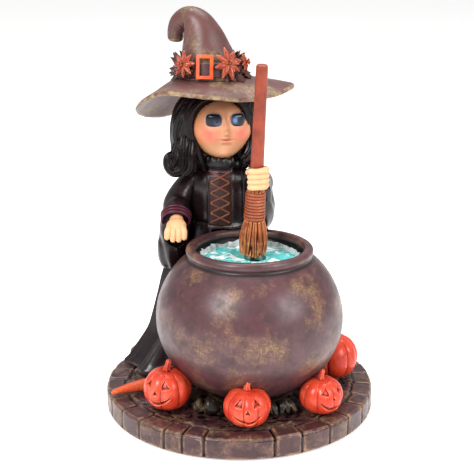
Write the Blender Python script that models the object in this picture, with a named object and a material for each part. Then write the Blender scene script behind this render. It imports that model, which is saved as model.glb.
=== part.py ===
"""Animated witch figure: a cast resin witch stirs a glowing cauldron with a broom. Metres, +Z up.

The origin is on the table under the middle of the round base. The witch looks along -Y.
A gear motor in the cauldron turns a crank disc about a vertical axis. The steel pin under the broom sits
in the crank's slanting hole, and the stick passes a pivot bush in the witch's fist. The crank's axis and
the broom's own axis cross in the bush, so the broom's foot goes round in a circle and it doesn't spin.
"""

import math

import bmesh
import bpy
from mathutils import Matrix, Vector

# Fits.
GAP = 0.0003  # between pieces that are glued or seated on each other
CUT_GAP = 0.0005  # between a cast piece and the shape that it is fitted round
RUNNING_GAP = 0.0004  # round the broom where it moves
RESIN_WALL = 0.004

# Stone base.
BASE_RADIUS = 0.0826
BASE_TOP = 0.0144
BASE_SLAB = 0.0032
FOOT_HEIGHT = 0.0012
FOOT_RADIUS = 0.005
FOOT_CIRCLE = 0.062
COVER_THICKNESS = 0.002
SCREW_CIRCLE = 0.070
SCREW_RADIUS = 0.0013
SCREW_HEAD_RADIUS = 0.0026
SCREW_HEAD_HEIGHT = 0.0014

# Cauldron: an oblate ball, cut flat below, with a rolled rim.
CAULDRON_X = 0.006
CAULDRON_Y = -0.015
CAULDRON_RADIUS = 0.0560
CAULDRON_HALF_HEIGHT = 0.050
CAULDRON_MIDDLE = BASE_TOP + 0.0476
CAULDRON_FOOT = 0.027
CAULDRON_HOLE = 0.0222  # for the motor tower
CAULDRON_STEPS = 9
CAULDRON_SIDES = 32
RIM_RADIUS = 0.0348
RIM_ROLL = 0.0029
RIM_MIDDLE = CAULDRON_MIDDLE + 0.0410
POTION_RADIUS = 0.0310
POTION_THICKNESS = 0.0035
POTION_DROP = 0.0065  # from the rim's middle down to the potion's surface
LEDGE = 0.0022

# Broom, measured along its own axis from the pivot in the fist; down is negative.
PIVOT = Vector((0.0099, -0.0102, 0.1461))
STIR_RADIUS = 0.0037208  # of the circle that the broom's foot makes
STIR_ANGLE = math.radians(122)  # where the foot rests on that circle
STICK_RADIUS = 0.0039
STICK_TOP_RADIUS = 0.0033
STICK_TOP = 0.0660
COLLAR_RADIUS = 0.0053
NECK_RADIUS = 0.0049
BINDING_TOP_RADIUS = 0.0058
BINDING_FOOT_RADIUS = 0.0063
BRISTLE_RADIUS = 0.0086
BRISTLE_TOP = -0.0070
BINDING_TOP = -0.0092
BINDING_FOOT = -0.0260
BRISTLE_FOOT = -0.0470
PIN_RADIUS = 0.0015
BINDING_TURNS = 9

# Drive.
CRANK_RADIUS = 0.0105
CRANK_THICKNESS = 0.005
CRANK_TOP = 0.0830
SHAFT_RADIUS = 0.0025
GEARBOX_RADIUS = 0.0150
GEARBOX_HEIGHT = 0.010
MOTOR_RADIUS = 0.0100
MOTOR_LENGTH = 0.020
TOWER_RADIUS = 0.0150
TOWER_WALL = 0.0018
TOWER_TOP = 0.0580
FLANGE_RADIUS = 0.0225
FLANGE_THICKNESS = 0.002
BOARD_THICKNESS = 0.0016
LED_RADIUS = 0.0025
LED_HEIGHT = 0.0086
LED_CIRCLE = 0.0190

# Battery box: three AAA cells side by side under the robe.
BATTERY_X = -0.006
BATTERY_Y = 0.034
CELL_RADIUS = 0.00525
CELL_LENGTH = 0.0445
CELL_SPACING = 0.0111
BOX_WALL = 0.0012
DOOR_THICKNESS = 0.0016
DOOR_MARGIN = 0.0015

# Switch.
SWITCH_X = 0.045
SWITCH_Y = 0.012
SWITCH_LENGTH = 0.012
SWITCH_WIDTH = 0.006
SWITCH_HEIGHT = 0.005
KNOB_SIZE = 0.003
SWITCH_TRAVEL = 0.003

# Witch.
FIGURE_X = -0.0105
HEAD_Y = 0.026
HEAD_MIDDLE = 0.1690
HEAD_RADIUS = 0.0184
HEAD_HALF_HEIGHT = 0.0194
NECK_HALF = 0.0070
ROBE_TOP = 0.1437
HAIR_THICKNESS = 0.0034
HAND_RADIUS = 0.0063
FIST_WIDTH = 0.0137
FIST_DEPTH = 0.0135
FIST_HEIGHT = 0.0125
FIST_BORE = 0.0055
BUSH_WALL = 0.0009
WRIST_RADIUS = 0.0048

# Hat.
CROWN_X = -0.0168
CROWN_Y = 0.028
CROWN_RADIUS = 0.0190
CROWN_FOOT = 0.1990
BRIM_THICKNESS = 0.0024
BAND_HEIGHT = 0.008
BAND_THICKNESS = 0.0012
# The brim's edge, every 45 degrees from the witch's left hand: how far out, and how high.
BRIM_REACH = (0.0495, 0.0460, 0.0440, 0.0455, 0.0460, 0.0405, 0.0375, 0.0380)
BRIM_EDGE = (0.1945, 0.1890, 0.1790, 0.1705, 0.1800, 0.1940, 0.1930, 0.1908)

# Round the hat band: where, how large, and how high above the crown's foot.
FLOWERS = ((-55, 0.0088, 0.0098), (-129, 0.0080, 0.0092), (-13, 0.0066, 0.0098))

PUMPKIN_RADIUS = 0.0137
PUMPKIN_HALF_HEIGHT = 0.0104

ROUND = 28  # sides of a round piece that shows
SMALL_ROUND = 12

RESIN_BROWN = ("resin_brown", (0.115, 0.075, 0.068), 0.45, 0.0)
RESIN_ROBE = ("resin_robe", (0.022, 0.017, 0.020), 0.38, 0.0)
RESIN_SKIN = ("resin_skin", (0.82, 0.55, 0.34), 0.5, 0.0)
RESIN_HAIR = ("resin_hair", (0.012, 0.009, 0.010), 0.35, 0.0)
RESIN_ORANGE = ("resin_orange", (0.80, 0.10, 0.035), 0.35, 0.0)
RESIN_BROOM = ("resin_broom", (0.45, 0.16, 0.08), 0.5, 0.0)
RESIN_POTION = ("resin_potion", (0.10, 0.70, 0.66), 0.15, 0.0)
CLEAR_FILM = ("clear_film", (0.85, 0.92, 0.92), 0.1, 0.0)
BLACK_PLASTIC = ("black_plastic", (0.03, 0.03, 0.03), 0.5, 0.0)
BOARD_GREEN = ("board_green", (0.03, 0.20, 0.08), 0.5, 0.0)
STEEL = ("steel", (0.62, 0.62, 0.62), 0.3, 1.0)
RUBBER = ("rubber", (0.05, 0.05, 0.05), 0.8, 0.0)
CELL_WRAP = ("cell_wrap", (0.10, 0.16, 0.35), 0.4, 0.2)


# ---- Tools ----


def finish_for(finish):
    """The Principled material of this name, colour, roughness and metallic value."""
    name, colour, roughness, metallic = finish
    material = bpy.data.materials.get(name)
    if material is None:
        material = bpy.data.materials.new(name)
        material.use_nodes = True
        shader = material.node_tree.nodes["Principled BSDF"]
        shader.inputs["Base Color"].default_value = (*colour, 1)
        shader.inputs["Roughness"].default_value = roughness
        shader.inputs["Metallic"].default_value = metallic
    return material


def place(name, mesh, finish, parent=None):
    """Links a bmesh as an object of this name, faces out and shaded smooth between its sharp edges."""
    bmesh.ops.recalc_face_normals(mesh, faces=mesh.faces)
    data = bpy.data.meshes.new(name)
    mesh.to_mesh(data)
    mesh.free()
    data.shade_smooth()
    data.set_sharp_from_angle(angle=math.radians(40))
    data.materials.append(finish_for(finish))
    piece = bpy.data.objects.new(name, data)
    bpy.context.scene.collection.objects.link(piece)
    piece.parent = parent
    return piece


def oval(centre, radius_x, radius_y, count=ROUND, tilt=None):
    """A ring of points round a centre, flat in XY unless tilt turns it."""
    points = []
    for step in range(count):
        turn = 2 * math.pi * step / count
        point = Vector((radius_x * math.cos(turn), radius_y * math.sin(turn), 0))
        points.append(Vector(centre) + (tilt @ point if tilt else point))
    return points


def skin(name, rings, finish, closed=False, parent=None):
    """A closed surface through rings of points. One point is a pole, and closed joins the last ring to the first."""
    mesh = bmesh.new()
    rows = [[mesh.verts.new(point) for point in ring] for ring in rings]
    pairs = list(zip(rows, rows[1:]))
    if closed:
        pairs.append((rows[-1], rows[0]))
    for low, high in pairs:
        for i in range(max(len(low), len(high))):
            corners = (
                low[i % len(low)],
                low[(i + 1) % len(low)],
                high[(i + 1) % len(high)],
                high[i % len(high)],
            )
            mesh.faces.new(dict.fromkeys(corners))
    if not closed:
        for row in (rows[0], rows[-1]):
            if len(row) > 2:
                mesh.faces.new(row)
    return place(name, mesh, finish, parent)


def turned(name, profile, centre, finish, count=ROUND, closed=False, parent=None):
    """A profile of (radius, height) turned round the Z axis through centre. A radius of 0 is a pole."""
    rings = []
    for radius, height in profile:
        point = (centre[0], centre[1], height)
        rings.append([Vector(point)] if radius == 0 else oval(point, radius, radius, count))
    return skin(name, rings, finish, closed, parent)


def box(name, centre, size, finish, edge=0.0):
    """A box with bevelled edges."""
    mesh = bmesh.new()
    bmesh.ops.create_cube(mesh, size=1)
    bmesh.ops.scale(mesh, vec=size, verts=mesh.verts)
    bmesh.ops.translate(mesh, vec=centre, verts=mesh.verts)
    if edge:
        bmesh.ops.bevel(mesh, geom=mesh.edges, offset=edge, segments=1, profile=0.5, affect="EDGES")
    return place(name, mesh, finish)


def ball(name, centre, radii, finish, count=24, rings=12):
    """An ellipsoid."""
    mesh = bmesh.new()
    bmesh.ops.create_uvsphere(mesh, u_segments=count, v_segments=rings, radius=1)
    bmesh.ops.scale(mesh, vec=radii, verts=mesh.verts)
    bmesh.ops.translate(mesh, vec=centre, verts=mesh.verts)
    return place(name, mesh, finish)


def helper(piece):
    """Marks a cutter, which isn't part of the object."""
    piece.hide_render = True
    piece.display_type = "WIRE"
    return piece


def combine(piece, other, operation):
    """Cuts other from piece, or joins it to piece, with an exact Boolean."""
    modifier = piece.modifiers.new(other.name, "BOOLEAN")
    modifier.operation = operation
    modifier.object = helper(other)
    modifier.solver = "EXACT"


def cut(piece, *cutters):
    for cutter in cutters:
        combine(piece, cutter, "DIFFERENCE")


def weld(piece, *others):
    for other in others:
        combine(piece, other, "UNION")


def tube(name, points, radius, finish, sides=2):
    """A lead along a smooth curve through points."""
    curve = bpy.data.curves.new(name, "CURVE")
    curve.dimensions = "3D"
    curve.bevel_depth = radius
    curve.bevel_resolution = sides
    curve.use_fill_caps = True
    smooth = catmull(points, 6)
    spline = curve.splines.new("POLY")
    spline.points.add(len(smooth) - 1)
    for target, point in zip(spline.points, smooth):
        target.co = (*point, 1)
    curve.materials.append(finish_for(finish))
    piece = bpy.data.objects.new(name, curve)
    bpy.context.scene.collection.objects.link(piece)
    return piece


def catmull(points, steps):
    """Points read from a smooth curve through the given ones."""
    ends = [Vector(point) for point in points]
    ends = [2 * ends[0] - ends[1], *ends, 2 * ends[-1] - ends[-2]]
    made = []
    for a, b, c, d in zip(ends, ends[1:], ends[2:], ends[3:]):
        for step in range(steps):
            t = step / steps
            made.append(
                0.5 * (2 * b + (c - a) * t + (2 * a - 5 * b + 4 * c - d) * t**2 + (3 * b - a - 3 * c + d) * t**3)
            )
    return [*made, ends[-2]]


# ---- Shapes that several pieces are fitted to ----


def cauldron_radius_at(height, wall=0.0):
    """The radius of the cauldron's ball at a height, outside or this far in from it."""
    rise = (height - CAULDRON_MIDDLE) / (CAULDRON_HALF_HEIGHT - wall)
    return (CAULDRON_RADIUS - wall) * math.sqrt(max(0.0, 1 - rise * rise))


def cauldron_outline(grow=0.0):
    """The cauldron's outside as (radius, height), from its foot to under the rim."""
    low = BASE_TOP + GAP
    top = RIM_MIDDLE - RIM_ROLL + 0.0002
    heights = [low + (top - low) * i / CAULDRON_STEPS for i in range(CAULDRON_STEPS + 1)]
    return [(max(cauldron_radius_at(height), CAULDRON_FOOT) + grow, height) for height in heights]


def cauldron_cutter(name):
    """The space that the cauldron and its rim take, for cutting what is fitted against them."""
    outline = cauldron_outline(CUT_GAP)
    low = BASE_TOP - 0.004
    top = RIM_MIDDLE + RIM_ROLL + CUT_GAP
    rim = RIM_RADIUS + RIM_ROLL + CUT_GAP
    below_rim = RIM_MIDDLE - RIM_ROLL - CUT_GAP
    profile = [(0, low), (outline[0][0], low), *outline[:-1], (rim, below_rim), (rim, top), (0, top)]
    return turned(name, profile, (CAULDRON_X, CAULDRON_Y), RESIN_BROWN, CAULDRON_SIDES)


# The robe's outline at each height: left edge, right edge, middle in Y, half depth.
ROBE_RINGS = (
    (BASE_TOP + GAP, -0.0735, 0.0470, 0.0270, 0.0385),
    (0.0300, -0.0635, 0.0410, 0.0290, 0.0330),
    (0.0420, -0.0570, 0.0370, 0.0300, 0.0300),
    (0.0620, -0.0525, 0.0320, 0.0320, 0.0260),
    (0.0820, -0.0470, 0.0250, 0.0335, 0.0225),
    (0.1025, -0.0345, 0.0165, 0.0340, 0.0185),
    (0.1200, -0.0335, 0.0145, 0.0320, 0.0170),
    (0.1320, -0.0325, 0.0130, 0.0300, 0.0150),
    (0.1395, -0.0280, 0.0075, 0.0290, 0.0120),
    (ROBE_TOP, -0.0200, -0.0010, 0.0280, 0.0080),
)


def robe_solid(name, grow=0.0):
    """The robe and the body in it, from hem to neck."""
    rings = []
    for height, left, right, middle_y, half_depth in ROBE_RINGS:
        centre = ((left + right) / 2, middle_y, height)
        rings.append(oval(centre, (right - left) / 2 + grow, half_depth + grow))
    if grow:
        rings[-1] = [point + Vector((0, 0, grow)) for point in rings[-1]]
    return skin(name, rings, RESIN_ROBE)


def around(values, angle):
    """A value that runs smoothly through the eight given ones, spaced evenly round a turn."""
    place_on = angle / (2 * math.pi) * len(values)
    low = math.floor(place_on)
    t = place_on - low
    a, b, c, d = (values[(low + i) % len(values)] for i in (-1, 0, 1, 2))
    return 0.5 * (2 * b + (c - a) * t + (2 * a - 5 * b + 4 * c - d) * t**2 + (3 * b - a - 3 * c + d) * t**3)


def brim_ring(share, drop):
    """A ring of the brim's surface: share runs from the crown at 0 to the edge at 1, and drop is below its top."""
    points = []
    for step in range(ROUND):
        turn = 2 * math.pi * step / ROUND
        reach = CROWN_RADIUS + (around(BRIM_REACH, turn) - CROWN_RADIUS) * share
        height = CROWN_FOOT + (around(BRIM_EDGE, turn) - CROWN_FOOT) * share**1.25
        points.append(
            Vector((CROWN_X + reach * math.cos(turn), CROWN_Y + reach * math.sin(turn), height - drop))
        )
    return points


def under_hat_cutter(name):
    """The space above the brim's underside, for cutting the head and hair to sit under the hat."""
    drop = BRIM_THICKNESS + CUT_GAP
    low = [[Vector((CROWN_X, CROWN_Y, CROWN_FOOT - 0.0060 - CUT_GAP))]]
    for share in (0.0, 0.3, 0.65, 1.0):
        low.append(brim_ring(share, drop + 0.0036 * (1 - share)))
    top = oval((CROWN_X, CROWN_Y, CROWN_FOOT + 0.03), 0.045, 0.045)
    return skin(name, [*low, top], RESIN_BROWN)


# ---- Base, cover, power ----


def stone_base():
    """The paved disc: a shell with a slab on top, open below for the cover."""
    low = FOOT_HEIGHT + GAP
    wall = BASE_RADIUS - 0.005
    slab = BASE_TOP - BASE_SLAB
    profile = [
        (wall, low),
        (BASE_RADIUS, low),
        (BASE_RADIUS, BASE_TOP - 0.0015),
        (BASE_RADIUS - 0.0015, BASE_TOP),
        (MECHANISM_HOLE, BASE_TOP),
        (MECHANISM_HOLE, slab),
        (wall, slab),
    ]
    rings = []
    for radius, height in profile:
        x, y = (PIVOT.x, PIVOT.y) if radius == MECHANISM_HOLE else (0, 0)
        rings.append(oval((x, y, height), radius, radius, 48))
    base = skin("stone_base", rings, RESIN_BROWN, closed=True)
    length, width = battery_box_size()
    cut(base, box("battery_hole", (BATTERY_X, BATTERY_Y, slab), (length + 2 * GAP, width + 2 * GAP, 0.02), RESIN_BROWN))
    for step in range(4):
        x, y = on_circle(SCREW_CIRCLE, 45 + 90 * step)
        post = turned(
            f"screw_post_{step + 1}",
            [(SCREW_RADIUS + GAP, low + COVER_THICKNESS + GAP), (0.0045, low + COVER_THICKNESS + GAP), (0.0045, slab + 0.001), (SCREW_RADIUS + GAP, slab + 0.001)],
            (x, y),
            RESIN_BROWN,
            SMALL_ROUND,
            closed=True,
        )
        weld(base, post)
    return base


MECHANISM_HOLE = TOWER_RADIUS + 2 * GAP


def on_circle(radius, degrees, centre=(0.0, 0.0)):
    turn = math.radians(degrees)
    return centre[0] + radius * math.cos(turn), centre[1] + radius * math.sin(turn)


def battery_box_size():
    """Length along X and width along Y of the battery box, outside."""
    length = CELL_LENGTH + 0.004 + 2 * BOX_WALL
    width = 2 * CELL_SPACING + 2 * CELL_RADIUS + 2 * GAP + 2 * BOX_WALL
    return length, width


def battery_box_levels():
    """Heights of the battery box's open underside and of its top."""
    low = FOOT_HEIGHT + GAP + DOOR_THICKNESS + GAP
    return low, low + 2 * CELL_RADIUS + 3 * GAP + BOX_WALL


def base_cover():
    """The plate that closes the base from below, with its battery hole, switch slot and screw holes."""
    low = FOOT_HEIGHT + GAP
    radius = BASE_RADIUS - 0.005 - GAP
    cover = turned(
        "base_cover",
        [(0, low), (radius, low), (radius, low + COVER_THICKNESS), (0, low + COVER_THICKNESS)],
        (0, 0),
        BLACK_PLASTIC,
        48,
    )
    length, width = battery_box_size()
    hole = (length + 2 * DOOR_MARGIN + 2 * GAP, width + 2 * DOOR_MARGIN + 2 * GAP, 0.02)
    cut(cover, box("door_hole", (BATTERY_X, BATTERY_Y, low), hole, BLACK_PLASTIC))
    slot = (KNOB_SIZE + SWITCH_TRAVEL + 4 * GAP, KNOB_SIZE + 4 * GAP, 0.02)
    cut(cover, box("switch_slot", (SWITCH_X + SWITCH_TRAVEL / 2, SWITCH_Y, low), slot, BLACK_PLASTIC))
    for step in range(4):
        x, y = on_circle(SCREW_CIRCLE, 45 + 90 * step)
        top = low + COVER_THICKNESS
        seat = SCREW_RADIUS + GAP
        head = SCREW_HEAD_RADIUS + GAP
        hole = [(0, low - 0.002), (head, low - 0.002), (head, low + GAP), (seat, low + GAP + SCREW_HEAD_HEIGHT), (seat, top + 0.002), (0, top + 0.002)]
        cut(cover, turned(f"screw_hole_{step + 1}", hole, (x, y), BLACK_PLASTIC, SMALL_ROUND))
    return cover


def cover_screws():
    """Countersunk screws through the cover into the base's posts."""
    low = FOOT_HEIGHT + 2 * GAP
    for step in range(4):
        profile = [
            (0, low),
            (SCREW_HEAD_RADIUS, low),
            (SCREW_RADIUS, low + SCREW_HEAD_HEIGHT),
            (SCREW_RADIUS, BASE_TOP - BASE_SLAB - 0.0008),
            (0, BASE_TOP - BASE_SLAB - GAP),
        ]
        turned(f"cover_screw_{step + 1}", profile, on_circle(SCREW_CIRCLE, 45 + 90 * step), STEEL, SMALL_ROUND)


def foot_pads():
    """Stick-on pads under the cover, which the figure stands on."""
    for step in range(4):
        profile = [(0, 0), (FOOT_RADIUS, 0), (FOOT_RADIUS, FOOT_HEIGHT), (0, FOOT_HEIGHT)]
        turned(f"foot_pad_{step + 1}", profile, on_circle(FOOT_CIRCLE, 90 * step - 90), RUBBER, 24)


def battery_parts():
    """The box with its three cells, open below, and the door that closes it."""
    length, width = battery_box_size()
    door_low = FOOT_HEIGHT + GAP
    floor, top = battery_box_levels()
    height = top - floor
    middle = (floor + top) / 2
    shell = box("battery_box", (BATTERY_X, BATTERY_Y, middle), (length, width, height), BLACK_PLASTIC)
    room = (length - 2 * BOX_WALL, width - 2 * BOX_WALL, height)
    cut(shell, box("battery_room", (BATTERY_X, BATTERY_Y, middle - BOX_WALL), room, BLACK_PLASTIC))
    for step in range(3):
        y = BATTERY_Y + (step - 1) * CELL_SPACING
        tilt = Matrix.Rotation(math.radians(90), 3, "Y")
        cell = []
        for radius, along in (
            (CELL_RADIUS, -CELL_LENGTH / 2),
            (CELL_RADIUS, CELL_LENGTH / 2 - 0.001),
            (0.0019, CELL_LENGTH / 2 - 0.001),
            (0.0019, CELL_LENGTH / 2),
        ):
            centre = (BATTERY_X + along * (1 if step % 2 else -1), y, floor + GAP + CELL_RADIUS)
            cell.append(oval(centre, radius, radius, SMALL_ROUND, tilt))
        skin(f"battery_cell_{step + 1}", cell, CELL_WRAP)
    door = (length + 2 * DOOR_MARGIN, width + 2 * DOOR_MARGIN, DOOR_THICKNESS)
    box("battery_door", (BATTERY_X, BATTERY_Y, door_low + DOOR_THICKNESS / 2), door, BLACK_PLASTIC, 0.0003)


def switch_parts():
    """A slide switch on the cover: its body inside, its knob reaching down through the slot."""
    top = FOOT_HEIGHT + GAP + COVER_THICKNESS + GAP
    middle_x = SWITCH_X + SWITCH_TRAVEL / 2
    body = box("switch_body", (middle_x, SWITCH_Y, top + SWITCH_HEIGHT / 2), (SWITCH_LENGTH, SWITCH_WIDTH, SWITCH_HEIGHT), BLACK_PLASTIC, 0.0003)
    slot = (KNOB_SIZE + SWITCH_TRAVEL + 2 * GAP, KNOB_SIZE + 2 * GAP, 0.004)
    cut(body, box("knob_slot", (middle_x, SWITCH_Y, top), slot, BLACK_PLASTIC))
    knob_low = FOOT_HEIGHT / 2
    knob_top = top + 0.002 - GAP
    box("switch_knob", (SWITCH_X, SWITCH_Y, (knob_low + knob_top) / 2), (KNOB_SIZE, KNOB_SIZE, knob_top - knob_low), BLACK_PLASTIC, 0.0003)


def control_parts():
    """The control board on the cover, and its leads to the battery box and the tower."""
    low = FOOT_HEIGHT + COVER_THICKNESS + 3 * GAP
    board_x, board_y, board_z = 0.052, -0.012, low + 0.002
    board_length, board_width = 0.020, 0.026
    box("control_board", (board_x, board_y, board_z + BOARD_THICKNESS / 2), (board_length, board_width, BOARD_THICKNESS), BOARD_GREEN)
    lead_z = board_z + BOARD_THICKNESS / 2
    start_x = board_x - board_length / 2 - 2 * GAP
    length, _ = battery_box_size()
    box_end = BATTERY_X + length / 2 + 2 * GAP
    tower_side = PIVOT.x + TOWER_RADIUS + 2 * GAP
    battery_route = [(start_x, -0.003), (start_x - 0.003, -0.003), (start_x - 0.006, 0.004), (box_end + 0.006, 0.025), (box_end + 0.003, 0.030), (box_end, 0.030)]
    motor_route = [(start_x, -0.018), (start_x - 0.003, -0.018), (tower_side + 0.006, PIVOT.y - 0.002), (tower_side + 0.003, PIVOT.y), (tower_side, PIVOT.y)]
    for name, route in (("battery_lead", battery_route), ("motor_lead", motor_route)):
        tube(name, [(x, y, lead_z) for x, y in route], 0.0008, BLACK_PLASTIC)


# ---- Cauldron and potion ----


def cauldron():
    """The hollow pot with its rolled rim, a rebate for the potion, and a hole below for the tower."""
    wall = RESIN_WALL
    low = BASE_TOP + GAP
    steps = CAULDRON_STEPS
    rim = []
    for i in range(6):
        turn = math.radians(-50 + 230 * i / 5)
        rim.append((RIM_RADIUS + RIM_ROLL * math.cos(turn), RIM_MIDDLE + RIM_ROLL * math.sin(turn)))
    rebate = POTION_RADIUS + GAP
    surface = RIM_MIDDLE - POTION_DROP
    ledge = surface - POTION_THICKNESS - GAP
    inner = [(rebate, surface), (rebate, ledge), (rebate - LEDGE, ledge), (rebate - LEDGE, ledge - 0.002)]
    inside_top = ledge - 0.006
    inside_low = low + wall
    for i in range(steps):
        height = inside_top + (inside_low - inside_top) * i / (steps - 1)
        inner.append((max(cauldron_radius_at(height, wall), CAULDRON_HOLE), height))
    profile = [(inner[-1][0], low), *cauldron_outline(), *rim, *inner]
    turned("cauldron", profile, (CAULDRON_X, CAULDRON_Y), RESIN_BROWN, CAULDRON_SIDES, closed=True)


def potion():
    """The cast potion in the rebate, with the hole that the broom's pin goes round in."""
    top = RIM_MIDDLE - POTION_DROP
    low = top - POTION_THICKNESS
    disc = turned(
        "potion",
        [(0, low), (POTION_RADIUS, low), (POTION_RADIUS, top), (0, top)],
        (CAULDRON_X, CAULDRON_Y),
        RESIN_POTION,
        32,
    )
    pin_sweep = (PIVOT.z - low) * math.tan(stir_lean()) + PIN_RADIUS
    hole = pin_sweep + 0.0022
    centre = (PIVOT.x - 0.0020, PIVOT.y)
    cut(disc, turned("stir_hole", [(0, low - 0.002), (hole + 0.0015, low - 0.002), (hole + 0.0015, top + 0.002), (0, top + 0.002)], centre, RESIN_POTION, 24))


def potion_film():
    """The clear crumpled film that stands up round the potion, higher behind than in front."""
    inner = POTION_RADIUS - 0.0036
    outer = POTION_RADIUS - 0.0026
    low = RIM_MIDDLE - POTION_DROP + GAP
    rings = [[], [], [], []]
    for step in range(ROUND):
        turn = 2 * math.pi * step / ROUND
        behind = 0.5 + 0.5 * math.sin(turn)
        top = low + 0.0016 + 0.0048 * behind
        for ring, radius, height in zip(rings, (inner, outer, outer, inner), (low, low, top, top)):
            ring.append(Vector((CAULDRON_X + radius * math.cos(turn), CAULDRON_Y + radius * math.sin(turn), height)))
    skin("potion_film", rings, CLEAR_FILM, closed=True)


# ---- Drive ----


def stir_lean():
    """The angle between the broom's axis and the vertical."""
    return math.atan2(STIR_RADIUS, -BRISTLE_FOOT)


def broom_turn():
    """The broom's tilt at rest: its foot lies on the stirring circle at STIR_ANGLE."""
    foot = Vector((STIR_RADIUS * math.cos(STIR_ANGLE), STIR_RADIUS * math.sin(STIR_ANGLE), BRISTLE_FOOT))
    return (-foot).to_track_quat("Z", "Y")


def broom_empty():
    """An empty in the pivot, whose Z is the broom's own axis."""
    empty = bpy.data.objects.new("broom_pivot", None)
    empty.location = PIVOT
    empty.rotation_mode = "QUATERNION"
    empty.rotation_quaternion = broom_turn()
    bpy.context.scene.collection.objects.link(empty)
    return empty


def motor_tower():
    """The tube that carries the gear motor and the LED board."""
    low = FOOT_HEIGHT + COVER_THICKNESS + 3 * GAP
    bore = TOWER_RADIUS - TOWER_WALL
    seat = MOTOR_RADIUS + GAP
    profile = [
        (bore, low),
        (TOWER_RADIUS, low),
        (TOWER_RADIUS, TOWER_TOP - FLANGE_THICKNESS),
        (FLANGE_RADIUS, TOWER_TOP - FLANGE_THICKNESS),
        (FLANGE_RADIUS, TOWER_TOP),
        (seat, TOWER_TOP),
        (seat, TOWER_TOP - FLANGE_THICKNESS),
        (bore, TOWER_TOP - FLANGE_THICKNESS),
    ]
    turned("motor_tower", profile, (PIVOT.x, PIVOT.y), BLACK_PLASTIC, 20, closed=True)


def gear_motor():
    """The motor can hangs in the tower and its gearbox sits on the tower's flange."""
    low = TOWER_TOP + GAP
    profile = [
        (0, low - MOTOR_LENGTH),
        (MOTOR_RADIUS, low - MOTOR_LENGTH),
        (MOTOR_RADIUS, low),
        (GEARBOX_RADIUS, low),
        (GEARBOX_RADIUS, low + GEARBOX_HEIGHT),
        (0.005, low + GEARBOX_HEIGHT),
        (0.005, low + GEARBOX_HEIGHT + 0.002),
        (0, low + GEARBOX_HEIGHT + 0.002),
    ]
    turned("gear_motor", profile, (PIVOT.x, PIVOT.y), STEEL, 24)


def crank_disc():
    """The disc on the output shaft, with the slanting hole for the broom's pin."""
    low = CRANK_TOP - CRANK_THICKNESS
    shaft_low = TOWER_TOP + 2 * GAP + GEARBOX_HEIGHT + 0.002
    profile = [
        (0, shaft_low),
        (SHAFT_RADIUS, shaft_low),
        (SHAFT_RADIUS, low),
        (CRANK_RADIUS, low),
        (CRANK_RADIUS, CRANK_TOP),
        (0, CRANK_TOP),
    ]
    disc = turned("crank_disc", profile, (PIVOT.x, PIVOT.y), BLACK_PLASTIC, 24)
    bore = PIN_RADIUS + GAP
    top = CRANK_TOP + 0.004 - PIVOT.z
    foot = low - 0.004 - PIVOT.z
    hole = turned("pin_hole", [(0, foot), (bore, foot), (bore, top), (0, top)], (0, 0), BLACK_PLASTIC, SMALL_ROUND)
    hole.location = PIVOT
    hole.rotation_mode = "QUATERNION"
    hole.rotation_quaternion = broom_turn()
    cut(disc, hole)


def led_parts():
    """A ring board on the tower's flange with three LEDs that light the potion from below."""
    low = TOWER_TOP + GAP
    top = low + BOARD_THICKNESS
    inner = GEARBOX_RADIUS + GAP
    profile = [(inner, low), (FLANGE_RADIUS, low), (FLANGE_RADIUS, top), (inner, top)]
    turned("led_board", profile, (PIVOT.x, PIVOT.y), BOARD_GREEN, 24, closed=True)
    for step in range(3):
        x, y = on_circle(LED_CIRCLE, 30 + 120 * step, (PIVOT.x, PIVOT.y))
        dome = top + GAP + LED_HEIGHT
        profile = [
            (0, top + GAP),
            (LED_RADIUS, top + GAP),
            (LED_RADIUS, dome - LED_RADIUS),
            (LED_RADIUS * 0.7, dome - LED_RADIUS * 0.3),
            (0, dome),
        ]
        turned(f"led_{step + 1}", profile, (x, y), CLEAR_FILM, 12)


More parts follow.
